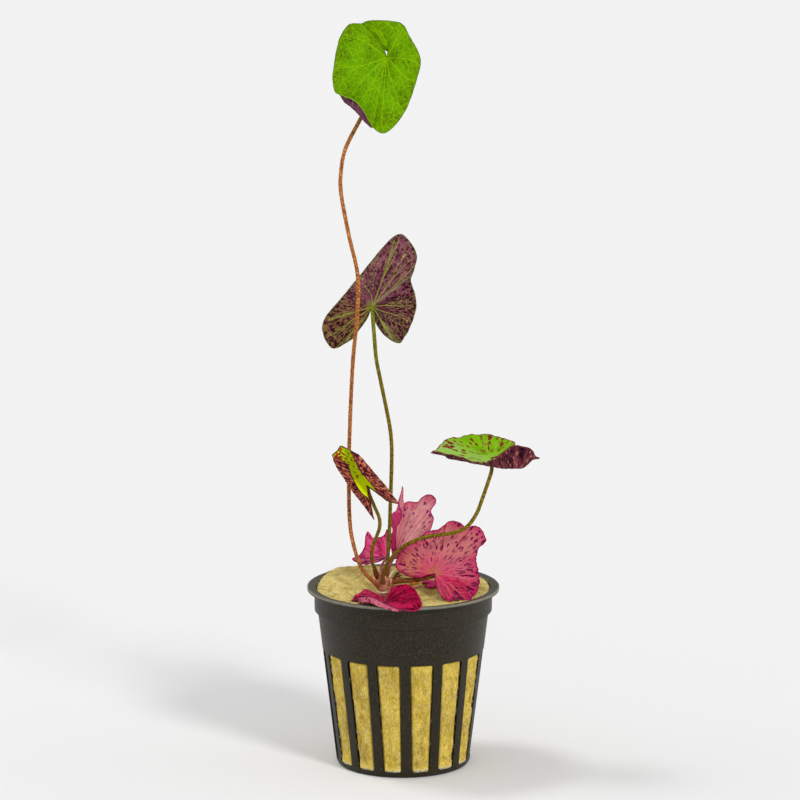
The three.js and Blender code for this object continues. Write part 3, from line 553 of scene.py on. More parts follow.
def leaf_paint(name, base, deep, vein, margin, flecks=(), net=None, mottle=None, washes=(),
               rib=None, crease_shading=None, vein_share=0.8, margin_width=0.3, through=0.12, gloss=0.04):
    """A leaf's face. The colour drifts between `base` and `deep`, and over it lie in turn:
    washes: (tint, what, from, to, share) full at `to` and gone at `from`, by reach, edge or turn;
    net: (tint, cell, half line, share) fine veins between cells;
    mottle: (tint, cell, low, high, clump, how far in) clouds; flecks: (tint, length, width, size,
    kept share, first reach, seed) along the spokes; then the main veins and the margin's line.
    Mottle and flecks may end with the middle and half width of the turns that they keep to.
    Lengths are millimetres."""
    p = Paint(name)
    flat = p.carried("flat")
    turn, reach, edge = p.parts(p.carried("polar"))
    veins = p.carried("vein", "Fac")
    drift = p.noise(flat, 4.5, 3)
    colour = p.mix(drift.step(0.38, 0.64), base, deep)
    for tint, what, start, full, share in washes:
        field = {"reach": reach, "edge": edge, "turn": turn}[what]
        field = field + (drift - 0.5) * (1 if what == "turn" else 5)
        colour = p.mix(field.step(start, full) * share, colour, tint)
    if net:
        tint, cell, width, share = net
        waved = p.shaken(p.shaken(flat, 2.5, 1.3), 0.8, 0.5)
        lines = p.cells(waved, cell, "DISTANCE_TO_EDGE").step(width / cell, width / cell * 0.25)
        colour = p.mix(lines * reach.step(1.5, 5) * share, colour, tint)
    if mottle:
        tint, cell, low, high, clump, deepest, *turns = mottle
        cloud = p.noise(p.shaken(flat, 1.2, 0.9), cell, 3, 0.65).step(low, high)
        if clump:
            cloud = cloud * p.noise(flat, clump, 1).step(0.42, 0.58)
        cloud = cloud * edge.step(deepest, deepest * 0.3) * within(turn, turns)
        colour = p.mix(cloud * 0.85, colour, tint)
    for tint, along, across, size, keep, inner, seed, *turns in flecks:
        spot = p.joined(turn * (9.0 / across) + seed * 1.3, reach * (1 / along) + seed, 0.0)
        spot = p.shaken(p.shaken(spot, 1.4, 0.7), 0.35, 0.2)
        chance = p.parts(p.cells(spot, 1.0, out="Color"))[0].step(1 - keep, 1.05 - keep)
        mark = p.cells(spot, 1.0).step(size, size * 0.7) * chance
        colour = p.mix(mark * reach.step(inner, inner * 1.5) * within(turn, turns), colour, tint)
    colour = p.mix(veins.step(0.15, 0.8) * vein_share, colour, vein)
    if rib:
        colour = p.mix(p.carried("rib", "Fac"), colour, rib)
    # painted shading along the creases: the given tint laid along each crease's line, a dark one in
    # the right pink leaf's creases as their shade
    if crease_shading:
        colour = p.mix(p.carried("crease_shading", "Fac") * 0.75, colour, crease_shading)
    rough_edge = edge + 0.25 * p.noise(flat, 0.9, 2)
    colour = p.mix(rough_edge.step(margin_width + 0.25, margin_width), colour, margin)
    grain = p.noise(flat, 0.5, 3, 0.6)
    relief = grain * 0.5 + p.noise(flat, 2.0, 2) - veins * 0.6
    return p.finish(colour, 0.5 + 0.15 * grain, relief, 0.14, through, Specular_IOR_Level=gloss)


def stalk_paint(name, base, dark, pale, foot, top=None):
    """A stalk: streaks and dots along it, a darker foot, and if `top` is given, as (tint, from, to)
    by height, a greener top."""
    p = Paint(name)
    along, turn, low = p.parts(p.carried("along"))
    place = p.place()
    colour = base
    if top:
        colour = p.mix(p.parts(place)[2].step(top[1], top[2]), colour, top[0])
    fine = p.joined(along * 1.3, turn * 1.1, 0.0)
    colour = p.mix(p.noise(place, 0.9, 4, 0.7).step(0.46, 0.6) * 0.75, colour, dark)
    colour = p.mix(p.cells(fine, 1.0).step(0.42, 0.22) * 0.7, colour, dark)
    colour = p.mix(p.noise(place, 0.5, 3, 0.6).step(0.52, 0.6) * 0.85, colour, pale)
    colour = p.mix(low, colour, foot)
    rough = 0.45 + 0.2 * p.noise(place, 0.4, 2)
    return p.finish(colour, rough, p.noise(fine, 0.7, 2), 0.08, 0.05, Specular_IOR_Level=0.12)


def pot_paint():
    """Matt black-brown plastic with a fine grain; painted light makes the rim's top paler, a
    painted highlight runs along its outer lip, and painted shade makes the slots' and drains' walls
    navy-black.
    """
    p = Paint("pot_plastic")
    place = p.place()
    grain = p.noise(place, 0.32, 4, 0.75)
    cloud = p.noise(place, 7, 3)
    x, y, height = p.parts(place)
    colour = p.mix(grain.step(0.38, 0.62), 0x0A0701, 0x2C250E)
    colour = p.mix(cloud.step(0.42, 0.66) * 0.4, colour, 0x2E2010)
    colour = p.mix(grain.step(0.58, 0.68) * 0.7, colour, 0x6A644C)
    # painted light: the rim's top is paler where it faces up
    rim = height.step(POT_HEIGHT - 0.6, POT_HEIGHT - 0.2)
    colour = p.mix(rim * (0.15 + 0.3 * p.noise(place, 1.2, 2)), colour, 0x6E6A5A)
    # painted highlight along the rim's outer lip
    lip = rim * ((x * x + y * y) ** 0.5).step(RIM_RADIUS - 0.5, RIM_RADIUS - 0.15)
    colour = p.mix(lip * (0.15 + 0.6 * p.noise(place, 1.5, 2)), colour, 0x9E9C8A)
    # painted shade: navy-black over the slots' and drains' walls, from the mesh's slot values
    colour = p.mix(p.carried("slot", "Fac"), colour, 0x060612)
    return p.finish(colour, 0.36 + 0.2 * grain, grain + 0.4 * cloud, 0.1, Specular_IOR_Level=0.27)


def wool_paint():
    """Mineral wool: straw yellow with deeper damp patches, pale strands and whitish frayed ends."""
    p = Paint("rockwool")
    place = p.place()
    x, y, z = p.parts(place)
    streak = p.joined(x, y, z * 0.5)
    hairs = p.noise(p.shaken(streak, 1.6, 2.2), 0.36, 4, 0.7)
    patches = p.noise(p.shaken(place, 5, 4), 4.5, 3, 0.6)
    colour = p.mix(hairs.step(0.36, 0.62), 0xCEAE3A, 0xF0D66C)
    colour = p.mix(patches.step(0.47, 0.66) * 0.5, colour, 0xD6B83E)
    damp = p.noise(p.shaken(place, 8, 8), 8, 3, 0.6)
    colour = p.mix(damp.step(0.5, 0.64) * 0.5, colour, 0xAA8C2C)
    colour = p.mix(hairs.step(0.44, 0.3) * patches.step(0.4, 0.6) * 0.8, colour, 0xA0801E)
    colour = p.mix(hairs.step(0.58, 0.74) * 0.85, colour, 0xFDF2B8)
    fray = p.noise(place, 0.8, 2).step(0.35, 0.6) * z.step(SLOT_BOTTOM + 1.6, SLOT_BOTTOM + 0.2)
    colour = p.mix(fray * 0.7, colour, 0xF2EAC4)
    # painted light: paler above the step, over the top that faces up
    colour = p.mix(z.step(STEP_HEIGHT, STEP_HEIGHT + 4) * 0.55, colour, 0xF4E8A4)
    return p.finish(colour, 0.9, hairs + 0.5 * patches, 0.4, Specular_IOR_Level=0.03)


def plain_paint(name, light, dark, cell, roughness=0.5, through=0.0):
    """Tissue whose colour wanders between two tones in spots and streaks of about `cell`."""
    p = Paint(name)
    place = p.place()
    cloud = p.noise(p.shaken(place, cell * 2, cell), cell, 4, 0.6)
    colour = p.mix(cloud.step(0.36, 0.64), dark, light)
    height = cloud + p.noise(place, cell / 3, 2)
    return p.finish(colour, roughness, height, 0.1, through, Specular_IOR_Level=0.15)


# ---------- leaves ----------


def leaf_net(leaf, columns, rows):
    """The blade's middle surface. Round the blade run three curves, through the near, the far and
    the margin points of the spokes; at each step round them one more curve leaves the attachment
    and passes the three. A far point not given lies 0.65 of the way out, a near point half way to
    the far one, both moved by the lift along the blade's mean normal."""
    root = np.array(leaf["attach"], float)
    margin = np.array([spoke[:3] for spoke in leaf["spokes"]], float)
    arms = margin - root
    normal = unit(np.cross(arms[:-1], arms[1:]).sum(0)) * leaf["lift"]
    far, near = root + 0.65 * arms + normal, np.empty_like(margin)
    for k, (_, _, _, *bends) in enumerate(leaf["spokes"]):
        far[k] = bends[:3] or far[k]
        near[k] = bends[3:] or (root + far[k]) / 2 + normal
    u = np.linspace(0, 1, columns + 1)
    rings = [curve(ring, u) for ring in (near, far, margin)]
    stations = np.stack([np.broadcast_to(root, rings[0].shape), *rings], axis=1)
    return curve(stations, np.linspace(0, 1, rows + 1) ** ROW_POWER)


def laid_flat(net):
    """The blade unrolled: each point's turn round the attachment, its reach along its spoke, its
    place on the flat as reach times (cos turn, sin turn), and how far the nearest edge is."""
    steps = np.linalg.norm(np.diff(net, axis=1), axis=2)
    reach = np.concatenate([np.zeros((len(net), 1)), np.cumsum(steps, axis=1)], axis=1)
    third = net.shape[1] // 3
    heading = unit(net[:, third] - net[:, 0])
    bends = np.arccos(np.clip((heading[1:] * heading[:-1]).sum(1), -1, 1))
    turn = np.concatenate([[0], np.cumsum(bends)])
    flat = reach[..., None] * np.stack([np.cos(turn), np.sin(turn)], 1)[:, None]
    edge = reach[:, -1:] - reach
    for end in (0, turn[-1]):
        off = np.minimum(np.abs(turn - end), math.pi / 2)
        edge = np.minimum(edge, reach * np.abs(np.sin(off))[:, None])
    return np.broadcast_to(turn[:, None], reach.shape), reach, flat, edge


def vein_lines(mains, weights, spread, width):
    """Veins as lines in (share round, share out): each main vein runs out and forks to both sides,
    and each fork forks once more. A line is seven points with a width and a strength."""
    lines = []
    t = np.linspace(0, 1, 7)
    wander = 0.014  # how far a main vein moves aside

    def branch(u, v, side, out, end, thick, strength):
        """A line from (u, v) out to `end` that moves aside by out x t^0.85 and wavers by a sine."""
        aside = side * out * t**0.85 + wander * 0.5 * np.sin(5 * t + u * 40)
        path = np.stack([u + aside, v + (end - v) * t], 1)
        lines.append((path, thick, strength))
        return path

    for u, weight in zip(mains, np.broadcast_to(weights, len(mains))):
        branch(u, 0.0, random.choice([-1, 1]), wander, 0.93, width * weight, 1.0)
        for k, start in enumerate((0.3, 0.46, 0.6, 0.72)):
            for side in (-1, 1):
                v = start + 0.04 * random.standard_normal()
                out = spread * (0.75 - 0.12 * k) * (0.8 + 0.4 * random.random())
                end = min(v + 0.3 + 0.1 * random.random(), 0.97)
                path = branch(u, v, side, out, end, 0.7 * width * weight, 0.8)
                for at, way in ((2, -side), (5, side)):
                    a, b = path[at]
                    branch(a, b, way, out * 0.45, min(b + 0.16, 0.98), 0.5 * width, 0.6)
    return lines


def vein_field(lines, reach, flat):
    """How much of a vein is at each point, and how far the nearest is: for each short piece of a
    vein the distance d to it on the flat, and then the greatest strength x exp(-(d / width)^2)."""
    columns, rows = reach.shape
    strength = np.zeros(reach.shape)
    nearest = np.full(reach.shape, NO_VEIN)
    for path, width, share in lines:
        u = np.clip(path[:, 0], 0, 1) * (columns - 1)
        v = np.clip(path[:, 1], 0, 1) ** (1 / ROW_POWER) * (rows - 1)
        a, b = np.minimum(u.astype(int), columns - 2), np.minimum(v.astype(int), rows - 2)
        fu, fv = (u - a)[:, None], (v - b)[:, None]
        spots = (flat[a, b] * (1 - fu) + flat[a + 1, b] * fu) * (1 - fv)
        spots = spots + (flat[a, b + 1] * (1 - fu) + flat[a + 1, b + 1] * fu) * fv
        low, high = max(a.min() - VEIN_REACH, 0), a.max() + VEIN_REACH + 1
        patch = flat[low:high]
        best = np.full(patch.shape[:2], NO_VEIN)
        for p, q in zip(spots[:-1], spots[1:]):
            span = q - p
            t = np.clip(((patch - p) @ span) / max(span @ span, 1e-9), 0, 1)
            best = np.minimum(best, np.linalg.norm(patch - p - t[..., None] * span, axis=2))
        thin = width * (1 - 0.55 * np.clip(reach[low:high] / reach.max(), 0, 1))
        here = share * np.exp(-((best / thin) ** 2))
        strength[low:high] = np.maximum(strength[low:high], here)
        nearest[low:high] = np.minimum(nearest[low:high], best)
    return strength, nearest


def normals(net):
    """Unit vectors square to the net, from the cross product of its two slopes. At the attachment,
    where all columns meet, it is the mean of the next row's."""
    across = unit(np.cross(np.gradient(net, axis=1), np.gradient(net, axis=0)))
    across[:, 0] = unit(across[:, 1].sum(0))
    return across


def rim_places(columns, rows):
    """Columns and rows of the net once round its edge: out along the first column, round the last
    row and back along the last column."""
    c = np.concatenate([np.zeros(rows, int), np.arange(columns), np.full(rows, columns)])
    r = np.concatenate([np.arange(rows), np.full(columns, rows), np.arange(rows, 0, -1)])
    return c, r


def face_points(field):
    """What the net holds, at the points of one face: the attachment's once, then all the others."""
    return np.concatenate([field[:1, 0], field[:, 1:].reshape(-1, *field.shape[2:])])


def closed_blade(net, outward, thick, shifts):
    """Points and faces of a closed blade. A face is the net moved along its normals by its shift.
    The two are joined round the edge by a rim of points 0.45 of the thickness outside the net."""
    columns, rows = net.shape[0] - 1, net.shape[1] - 1
    across = normals(net)
    faces_at = [face_points(net + shift[..., None] * across) for shift in shifts]
    c, r = rim_places(columns, rows)
    aside = unit(np.gradient(net, axis=0))[c, r] * np.where(c == 0, -1, 1)[:, None]
    pushes = np.where((r == rows)[:, None], outward[c, r], aside)
    pushes[0] = -unit((net[:, 1] - net[:, 0]).mean(0))
    rim = net[c, r] + pushes * (thick[c, r] * 0.45)[:, None]

    number = np.zeros((columns + 1, rows + 1), int)
    number[:, 1:] = 1 + np.arange((columns + 1) * rows).reshape(-1, rows)
    quads = np.stack([number[:-1, 1:-1], number[1:, 1:-1], number[1:, 2:], number[:-1, 2:]], -1)
    quads = quads.reshape(-1, 4)
    tips = np.stack([number[:-1, 0], number[1:, 1], number[:-1, 1]], 1)
    count, near = len(faces_at[0]), number[c, r]
    middle = 2 * count + np.arange(len(rim))
    faces = [quads, tips, count + quads[:, ::-1], count + tips[:, ::-1]]
    faces += [band(near, middle), band(middle, count + near)]
    return np.concatenate([*faces_at, rim]), faces


def make_leaf(name, leaf, materials, slot, seed, mains, spread, weights=1.0, vein=0.17,
              grid=(340, 90), ruffle=(0.3, 9), crumple=0.12, quilt=0.18, teeth=0.1, creases=()):
    """A blade: its net is waved towards the margin by two sines round it, crumpled by noise, raised
    between the veins by quilt x (1 - exp(-(d / 0.9)^2)), creased, and toothed by noise along the
    margin. The blade thins outwards by 0.45 x share out^3, and its veins stand out below."""
    net = leaf_net(leaf, *grid)
    turn, reach, flat, edge = laid_flat(net)
    spots = np.concatenate([flat, np.zeros(flat.shape[:2] + (1,))], 2)
    out, up = reach / reach[:, -1:], leaf["up"]
    lines = vein_lines(mains, weights, spread, vein)
    strength, nearest = vein_field(lines, reach, flat)
    rib, _ = vein_field([line for line in lines if line[1] > 1.3 * vein], reach, flat)
    height, waves = ruffle
    swing = np.sin(turn * waves + 2 * lattice_noise(spots, 6, seed))
    rise = height * smooth(out, 0.45, 1) * (swing + 0.5 * np.sin(turn * waves * 2.3 + seed))
    rise = rise + crumple * smooth(out, 0.1, 0.5) * layered_noise(spots, 3.2, seed)
    rise = rise + up * quilt * smooth(out, 0.05, 0.3) * (1 - np.exp(-((nearest / 0.9) ** 2)))
    # how near each point is to a crease's line, for the painted shading along the creases
    crease_shading = np.zeros(turn.shape)
    for path, wide, deep in creases:
        path = np.array(path, float)
        rise = rise + up * deep * vein_field([(path, wide, 1.0)], reach, flat)[0]
        crease_shading = np.maximum(crease_shading, vein_field([(path, 0.45 * wide, 1.0)], reach, flat)[0])
    net = net + rise[..., None] * normals(net)
    outward = unit(np.gradient(net, axis=1))
    row = np.stack([turn * 9, turn * 0, turn * 0], 2)
    nibble = teeth * smooth(out, 0.9, 1) * layered_noise(row, 0.7, seed + 5)
    net = net + nibble[..., None] * outward
    thick = BLADE * (1 - 0.45 * out**3)
    raised = 0.16 * strength * (1 - 0.6 * out)
    shifts = [side * (thick / 2 + (raised if side != up else -0.3 * raised)) for side in (1, -1)]
    points, faces = closed_blade(net, outward, thick, shifts)
    rim = rim_places(*grid)
    carried = {"polar": np.stack([turn, reach, edge], 2), "flat": spots, "vein": strength,
               "rib": rib, "crease_shading": crease_shading}
    values = {key: np.concatenate([face_points(field)] * 2 + [field[rim]])
              for key, field in carried.items()}
    upper, lower = (0, 1) if up > 0 else (1, 0)
    groups = [upper, upper, lower, lower, upper, lower]
    piece = make_piece(name + "_blade", points, faces, materials, groups, values)
    dress(piece, slot, name)


# ---------- stalks and other tubes ----------


def tube(path, radius, sides, across=(0, 1, 0)):
    """Rings of points round a path: each ring is the path's point plus radius times cos a along the
    ring's first axis and sin a along its second, both square to the path. Closed by two end points.
    The radius is given for each ring, or for each point of each ring."""
    forward = unit(np.gradient(path, axis=0))
    first = unit(np.cross(forward, np.array(across, float)))
    second = np.cross(forward, first)
    a = circle(sides)[None, :, None]
    rings = path[:, None] + radius.reshape(len(path), -1, 1) * (
        np.cos(a) * first[:, None] + np.sin(a) * second[:, None]
    )
    points = np.concatenate([rings.reshape(-1, 3), path[:1], path[-1:]])
    return points, capped(len(path), sides)


def make_stalk(name, material, slot, seed, sides=20):
    """A stalk along its path: its foot is thicker by a share that falls as exp(-d / 1.5), its head
    by a quarter over the last 2.2 mm, and noise makes it a little uneven."""
    radius, foot, points = STALKS[name]
    length = np.linalg.norm(np.diff(np.array(points, float), axis=0), axis=1).sum()
    rows = int(length / 0.35) + 8
    path = curve(points, np.linspace(0, 1, rows))
    gone = np.concatenate([[0], np.cumsum(np.linalg.norm(np.diff(path, axis=0), axis=1))])
    thick = radius + foot * np.exp(-gone / 1.5) + 0.03 * layered_noise(path, 3, seed)
    thick = thick + 0.25 * radius * smooth(gone, gone[-1] - 2.2, gone[-1])
    across = (1, 0, 0) if name == "pink_stalk_front" else (0, 1, 0)
    points, faces = tube(path, thick, sides, across)
    low = np.exp(-gone / 6)
    rings = [np.repeat(gone, sides), np.tile(circle(sides), rows), np.repeat(low, sides)]
    values = np.stack(rings, 1)
    values = np.concatenate([values, values[:1], values[-1:]])
    piece = make_piece(name + "_skin", points, faces, [material], values={"along": values})
    dress(piece, slot, name)


def merged(shapes):
    """Several closed shapes as one list of points and faces."""
    points, faces, start = [], [], 0
    for some, blocks in shapes:
        points.append(some)
        faces += [block + start for block in blocks]
        start += len(some)
    return np.concatenate(points), faces


def lumpy_ball(centre, halves, seed, rows=40, columns=56):
    """A ball given by two angles, stretched to the half widths, and then by 1 + 0.12 x noise."""
    up = np.linspace(0, math.pi, rows + 2)[1:-1, None]
    turn = circle(columns)[None]
    ball = [np.sin(up) * np.cos(turn), np.sin(up) * np.sin(turn), np.cos(up) * np.ones_like(turn)]
    ball = np.concatenate([np.stack(ball, 2).reshape(-1, 3), [[0, 0, 1], [0, 0, -1]]]) * halves
    uneven = 1 + 0.12 * layered_noise(ball + np.array(centre), 1.2, seed)
    return np.array(centre) + ball * uneven[:, None], capped(rows, columns)


# ---------- pot ----------


def wall_radius(z):
    """The outside of the tapered wall: a straight line from the base's radius to the step's."""
    return BASE_RADIUS + (STEP_RADIUS - BASE_RADIUS) * z / STEP_HEIGHT


def widened(turn, z):
    """Turns round the axis moved so that the slots widen upwards, a slot's edge by SLOT_GROW times
    the height's share and what lies beside it in proportion to its distance from the middle, and
    lean, by SLOT_LEAN times the share left to their heads."""
    share = np.clip((z - SLOT_BOTTOM) / (SLOT_TOP - SLOT_BOTTOM), 0, 1)
    fade = 1 - smooth(z, SLOT_TOP + 1, STEP_HEIGHT - 1)
    off = (turn - RIB_TURN) % SLOT_SPAN - SLOT_SPAN / 2
    to_rib = (SLOT_SPAN / 2 - np.abs(off)) / (SLOT_SPAN / 2 - SLOT_HALF)
    part = np.minimum(np.abs(off) / SLOT_HALF, to_rib)
    return turn + fade * (np.sign(off) * SLOT_GROW * share * part + SLOT_LEAN * (0.45 - share))


def pot_profile():
    """The pot's section as radius and height: out over the underside, up the wall, over the collar
    and the rim, down inside and in over the floor. Also which of its rows are the wall's outside
    and its inside."""
    bend = np.radians([0, 15, 35, 55, 75])
    middle = BASE_RADIUS - BASE_EDGE
    outer = [(r, 0.0) for r in BASE_RINGS]
    outer += [(middle + BASE_EDGE * math.sin(a), BASE_EDGE - BASE_EDGE * math.cos(a)) for a in bend]
    outside = slice(len(outer), len(outer) + len(WALL_HEIGHTS))
    outer += [(wall_radius(z), z) for z in WALL_HEIGHTS]
    lip, top = POT_HEIGHT - 0.8, POT_HEIGHT + 0.25
    # each point of the collar and the rim, as steps from a radius and a height
    collar = [
        (radius + out, height + up)
        for radius, height, steps in (
            (STEP_RADIUS, STEP_HEIGHT, [(-0.02, -0.1), (0.04, 0)]),
            (COLLAR_RADIUS, STEP_HEIGHT, [(-0.14, 0.03), (-0.02, 0.1), (0, 0.22), (0.02, 1.6)]),
            (COLLAR_RADIUS, lip, [(0.05, -2.4), (0.08, -0.3), (0.16, -0.08), (0.4, 0)]),
            (RIM_RADIUS, lip, [(-0.3, 0.03), (-0.06, 0.1), (0, 0.28)]),
            (RIM_RADIUS, top, [(-0.03, -0.14), (-0.16, -0.02), (-0.4, -0.02), (-0.9, -0.14)]),
            (COLLAR_RADIUS, top, [(0, -0.22), (-0.3, -0.32), (-0.45, -0.6), (-0.45, -3.35)]),
            (COLLAR_RADIUS, STEP_HEIGHT, [(-0.5, 0.4), (-WALL - 0.2, 0)]),
            (STEP_RADIUS, STEP_HEIGHT, [(-WALL + 0.05, -0.3)]),
        )
        for out, up in steps
    ]
    inner = [(wall_radius(z) - WALL, z) for z in WALL_HEIGHTS[:0:-1]]
    inside = slice(len(outer) + len(collar), len(outer) + len(collar) + len(inner))
    floor = [(r, WALL) for r in (wall_radius(WALL) - WALL, *BASE_RINGS[::-1])]
    return np.array(outer + collar + inner + floor), outside, inside


def pot_columns():
    """The columns' turns in degrees round the pot, and those of one slot: over half a rib, close
    together at the slot's edge, to the slot's middle, and the same way back."""
    rib, span = math.degrees(math.pi / SLOT_COUNT - SLOT_HALF), 360 / SLOT_COUNT
    edge = np.degrees(SLOT_CORNER * CORNER_STEPS / SLOT_RADIUS)
    half = np.concatenate([RIB_COLUMNS, rib + edge, np.linspace(rib + 4, span / 2, 4)])
    sector = np.concatenate([half, (span - half)[::-1][1:-1]])
    return math.degrees(RIB_TURN) + (np.arange(SLOT_COUNT)[:, None] * span + sector).ravel(), sector


def round_corners(turn, level, column, columns, row, step, up, z):
    """Moves the points beside the slots' corners at one end and in one wall onto arcs. Along the
    corner's two sides the arc's angle b falls from 45 degrees to 0, and a point lies the corner's
    radius times 1 - sin b along its side and 1 - cos b off it."""
    b = np.radians(45) * (1 - CORNER_STEPS)
    along, off = SLOT_CORNER * (1 - np.sin(b)), SLOT_CORNER * (1 - np.cos(b))
    for edge_column, way in zip(columns, (1, -1)):
        at_edge = column == edge_column
        edge = turn[row, at_edge]
        for k in range(len(CORNER_STEPS)):
            beside = column == edge_column + way * k
            turn[row + step * k, at_edge] = edge + way * off[k] / SLOT_RADIUS
            level[row + step * k, at_edge] = z + up * along[k]
            turn[row, beside] = edge + way * along[k] / SLOT_RADIUS
            level[row, beside] = z + up * off[k]


def turn_aside(turn, radius, level, natural):
    """Turns the base's columns aside round the drains: the column at `natural` from a drain's
    middle goes to the drain's rounded outline, and the others keep their share of the way."""
    sweep = 2 * math.pi / DRAIN_COUNT
    flat = np.isclose(level[:, 0], 0) | np.isclose(level[:, 0], WALL)
    rows = np.where(flat & (radius[:, 0] < BASE_RINGS[-1] + 0.1))[0]
    r = radius[rows, :1]
    beyond = np.maximum(np.maximum(DRAIN_INNER - r, r - DRAIN_OUTER), 0)
    reach = np.arcsin(np.sqrt(np.maximum(DRAIN_HALF**2 - beyond**2, 0)) / np.maximum(r, 3))
    off = (turn[rows] - RIB_TURN + sweep / 2) % sweep - sweep / 2
    a = np.abs(off)
    further = reach + (a - natural) * (sweep / 2 - reach) / (sweep / 2 - natural)
    moved = np.where(a <= natural + 1e-9, a * reach / natural, further)
    fade = smooth(r, 3.2, 4.5) * (1 - smooth(r, *BASE_RINGS[-2:]))
    turn[rows] += np.sign(off) * (moved - a) * fade


def border(top, bottom, left, right):
    """Rows and columns of a grid's points once round a rectangle of it."""
    down, along = np.arange(top, bottom), np.arange(left, right)
    row = [np.full(len(along), top), down, np.full(len(along), bottom), down[::-1] + 1]
    column = [along, np.full(len(down), right), along[::-1] + 1, np.full(len(down), left)]
    return np.concatenate(row), np.concatenate(column)


def make_pot(material):
    """The pot as a closed profile turned round the axis. Where the profile's outer and inner wall
    cross a slot, the quads are left out, the slot's border points lie on its rounded corners, and
    a short wall joins the outer border to the inner one, with two rings drawn in between them. The
    drain slots in the base are made the same way, with the columns turned aside round them."""
    profile, outside, inside = pot_profile()
    degrees, sector = pot_columns()
    rows, columns, per = len(profile), len(degrees), len(sector)
    turn, radius, level = (
        np.broadcast_to(values, (rows, columns)).copy()
        for values in (np.radians(degrees), profile[:, :1], profile[:, 1:])
    )
    column = np.arange(columns) % per
    left, right = len(RIB_COLUMNS), per - len(RIB_COLUMNS)
    low, high = (outside.start + k for k in SLOT_ROWS)
    facing = inside.start + outside.stop - 1  # a row and the inner wall's row level with it, summed
    for row, step, up, z in (
        (low, 1, 1, SLOT_BOTTOM), (high, -1, -1, SLOT_TOP),
        (facing - low, -1, 1, SLOT_BOTTOM), (facing - high, 1, -1, SLOT_TOP),
    ):
        round_corners(turn, level, column, (left, right), row, step, up, z)
    for wall, depth in ((outside, 0), (inside, WALL)):
        radius[wall] = wall_radius(level[wall]) - depth
        turn[wall] = widened(turn[wall], level[wall])
    half_drain = left + 3  # columns from a drain's middle to its edge
    turn_aside(turn, radius, level, np.radians(sector[half_drain]))
    points = around(radius, turn, level)

    keep = np.ones((rows - 1, columns), bool)
    in_slot = (column >= left) & (column < right)
    keep[low:high, in_slot] = keep[facing - high:facing - low, in_slot] = False
    slots = SLOT_COUNT // DRAIN_COUNT  # from a drain to the next
    off = (np.arange(columns) + half_drain) % (slots * per)
    first, last = DRAIN_ROWS
    in_drain = off < 2 * half_drain
    keep[first:last, in_drain] = keep[rows - 1 - last:rows - 1 - first, in_drain] = False

    holes = []  # the rows round a hole outside, those inside, the columns, and how far it draws in
    for k in range(SLOT_COUNT):
        row, at = border(low, high, k * per + left, k * per + right)
        holes.append((row, facing - row, at, 0.12))
    for k in range(DRAIN_COUNT):
        middle = k * slots * per
        row, at = border(first, last, middle - half_drain, middle + half_drain)
        holes.append((row, rows - 1 - row, at % columns, 0.05))
    number = np.arange(rows * columns).reshape(rows, columns)
    rings, walls, count = [], [], rows * columns
    for row, twin, at, drawn in holes:
        a, b = points[row, at], points[twin, at]
        middle = (a.mean(0) + b.mean(0)) / 2
        chain = [number[row, at]]
        for share in (0.18, 0.82):
            ring = a + (b - a) * share
            rings.append(ring + unit(middle - ring) * drawn)
            chain.append(count + np.arange(len(ring)))
            count += len(ring)
        chain.append(number[twin, at])
        walls += [band(one, two)[:, ::-1] for one, two in zip(chain[:-1], chain[1:])]

    points = np.concatenate([points.reshape(-1, 3), *rings, [[0, 0, 0], [0, 0, WALL]]])
    caps = [fan(count, number[0][::-1]), fan(count + 1, number[-1])]
    quads = grid_quads(rows, columns, wrap=True).reshape(rows - 1, columns, 4)
    faces = [quads[keep], *walls, *caps]
    used = np.zeros(len(points), bool)
    used[np.concatenate([block.ravel() for block in faces])] = True
    renumber = np.cumsum(used) - 1
    # 1 at the points of the slots' and drains' walls and at the base's two middle points, where the
    # pot's paint lays painted shade
    painted_slot_shade = (np.arange(len(points)) >= rows * columns)[used]
    piece = make_piece("net_pot", points[used], [renumber[block] for block in faces], [material],
                       values={"slot": painted_slot_shade}, sharp=38)
    dress(piece, "pot_plastic", "pot")


# ---------- rockwool ----------


def sunk(turn):
    """How far the wool has shrunk back at a turn: 1.2 x exp(-(d / 9 degrees)^4), where d is the
    distance from the middle of the slot at that side."""
    off = np.abs((turn + math.pi) % (2 * math.pi) - math.pi)
    return 1.2 * np.exp(-(((off - math.radians(84)) / math.radians(9)) ** 4))


def plug_top(x, y):
    """The wool's upper level: a constant plus round lumps, each height x exp(-(d / spread)^2)."""
    z = np.full(np.shape(x), float(PLUG_LEVEL))
    for cx, cy, height, spread in PLUG_LUMPS:
        z = z + height * np.exp(-((x - cx) ** 2 + (y - cy) ** 2) / spread**2)
    return z


def plug_height(x, y):
    """The upper level with tufts and pits: noise of several sizes, raised towards the edge and
    lowered at it."""
    r = np.hypot(x, y)
    spots = np.stack([x, y, np.zeros_like(x)], -1)
    tufts = 0.7 * layered_noise(spots, 5.5, 3) + 0.3 * np.abs(lattice_noise(spots, 1.3, 8))
    rise = 1.1 * smooth(r, 15, 22.5) - 0.35 * smooth(r, PLUG_EDGE - 1.0, PLUG_EDGE) ** 2
    return plug_top(x, y) + tufts + rise


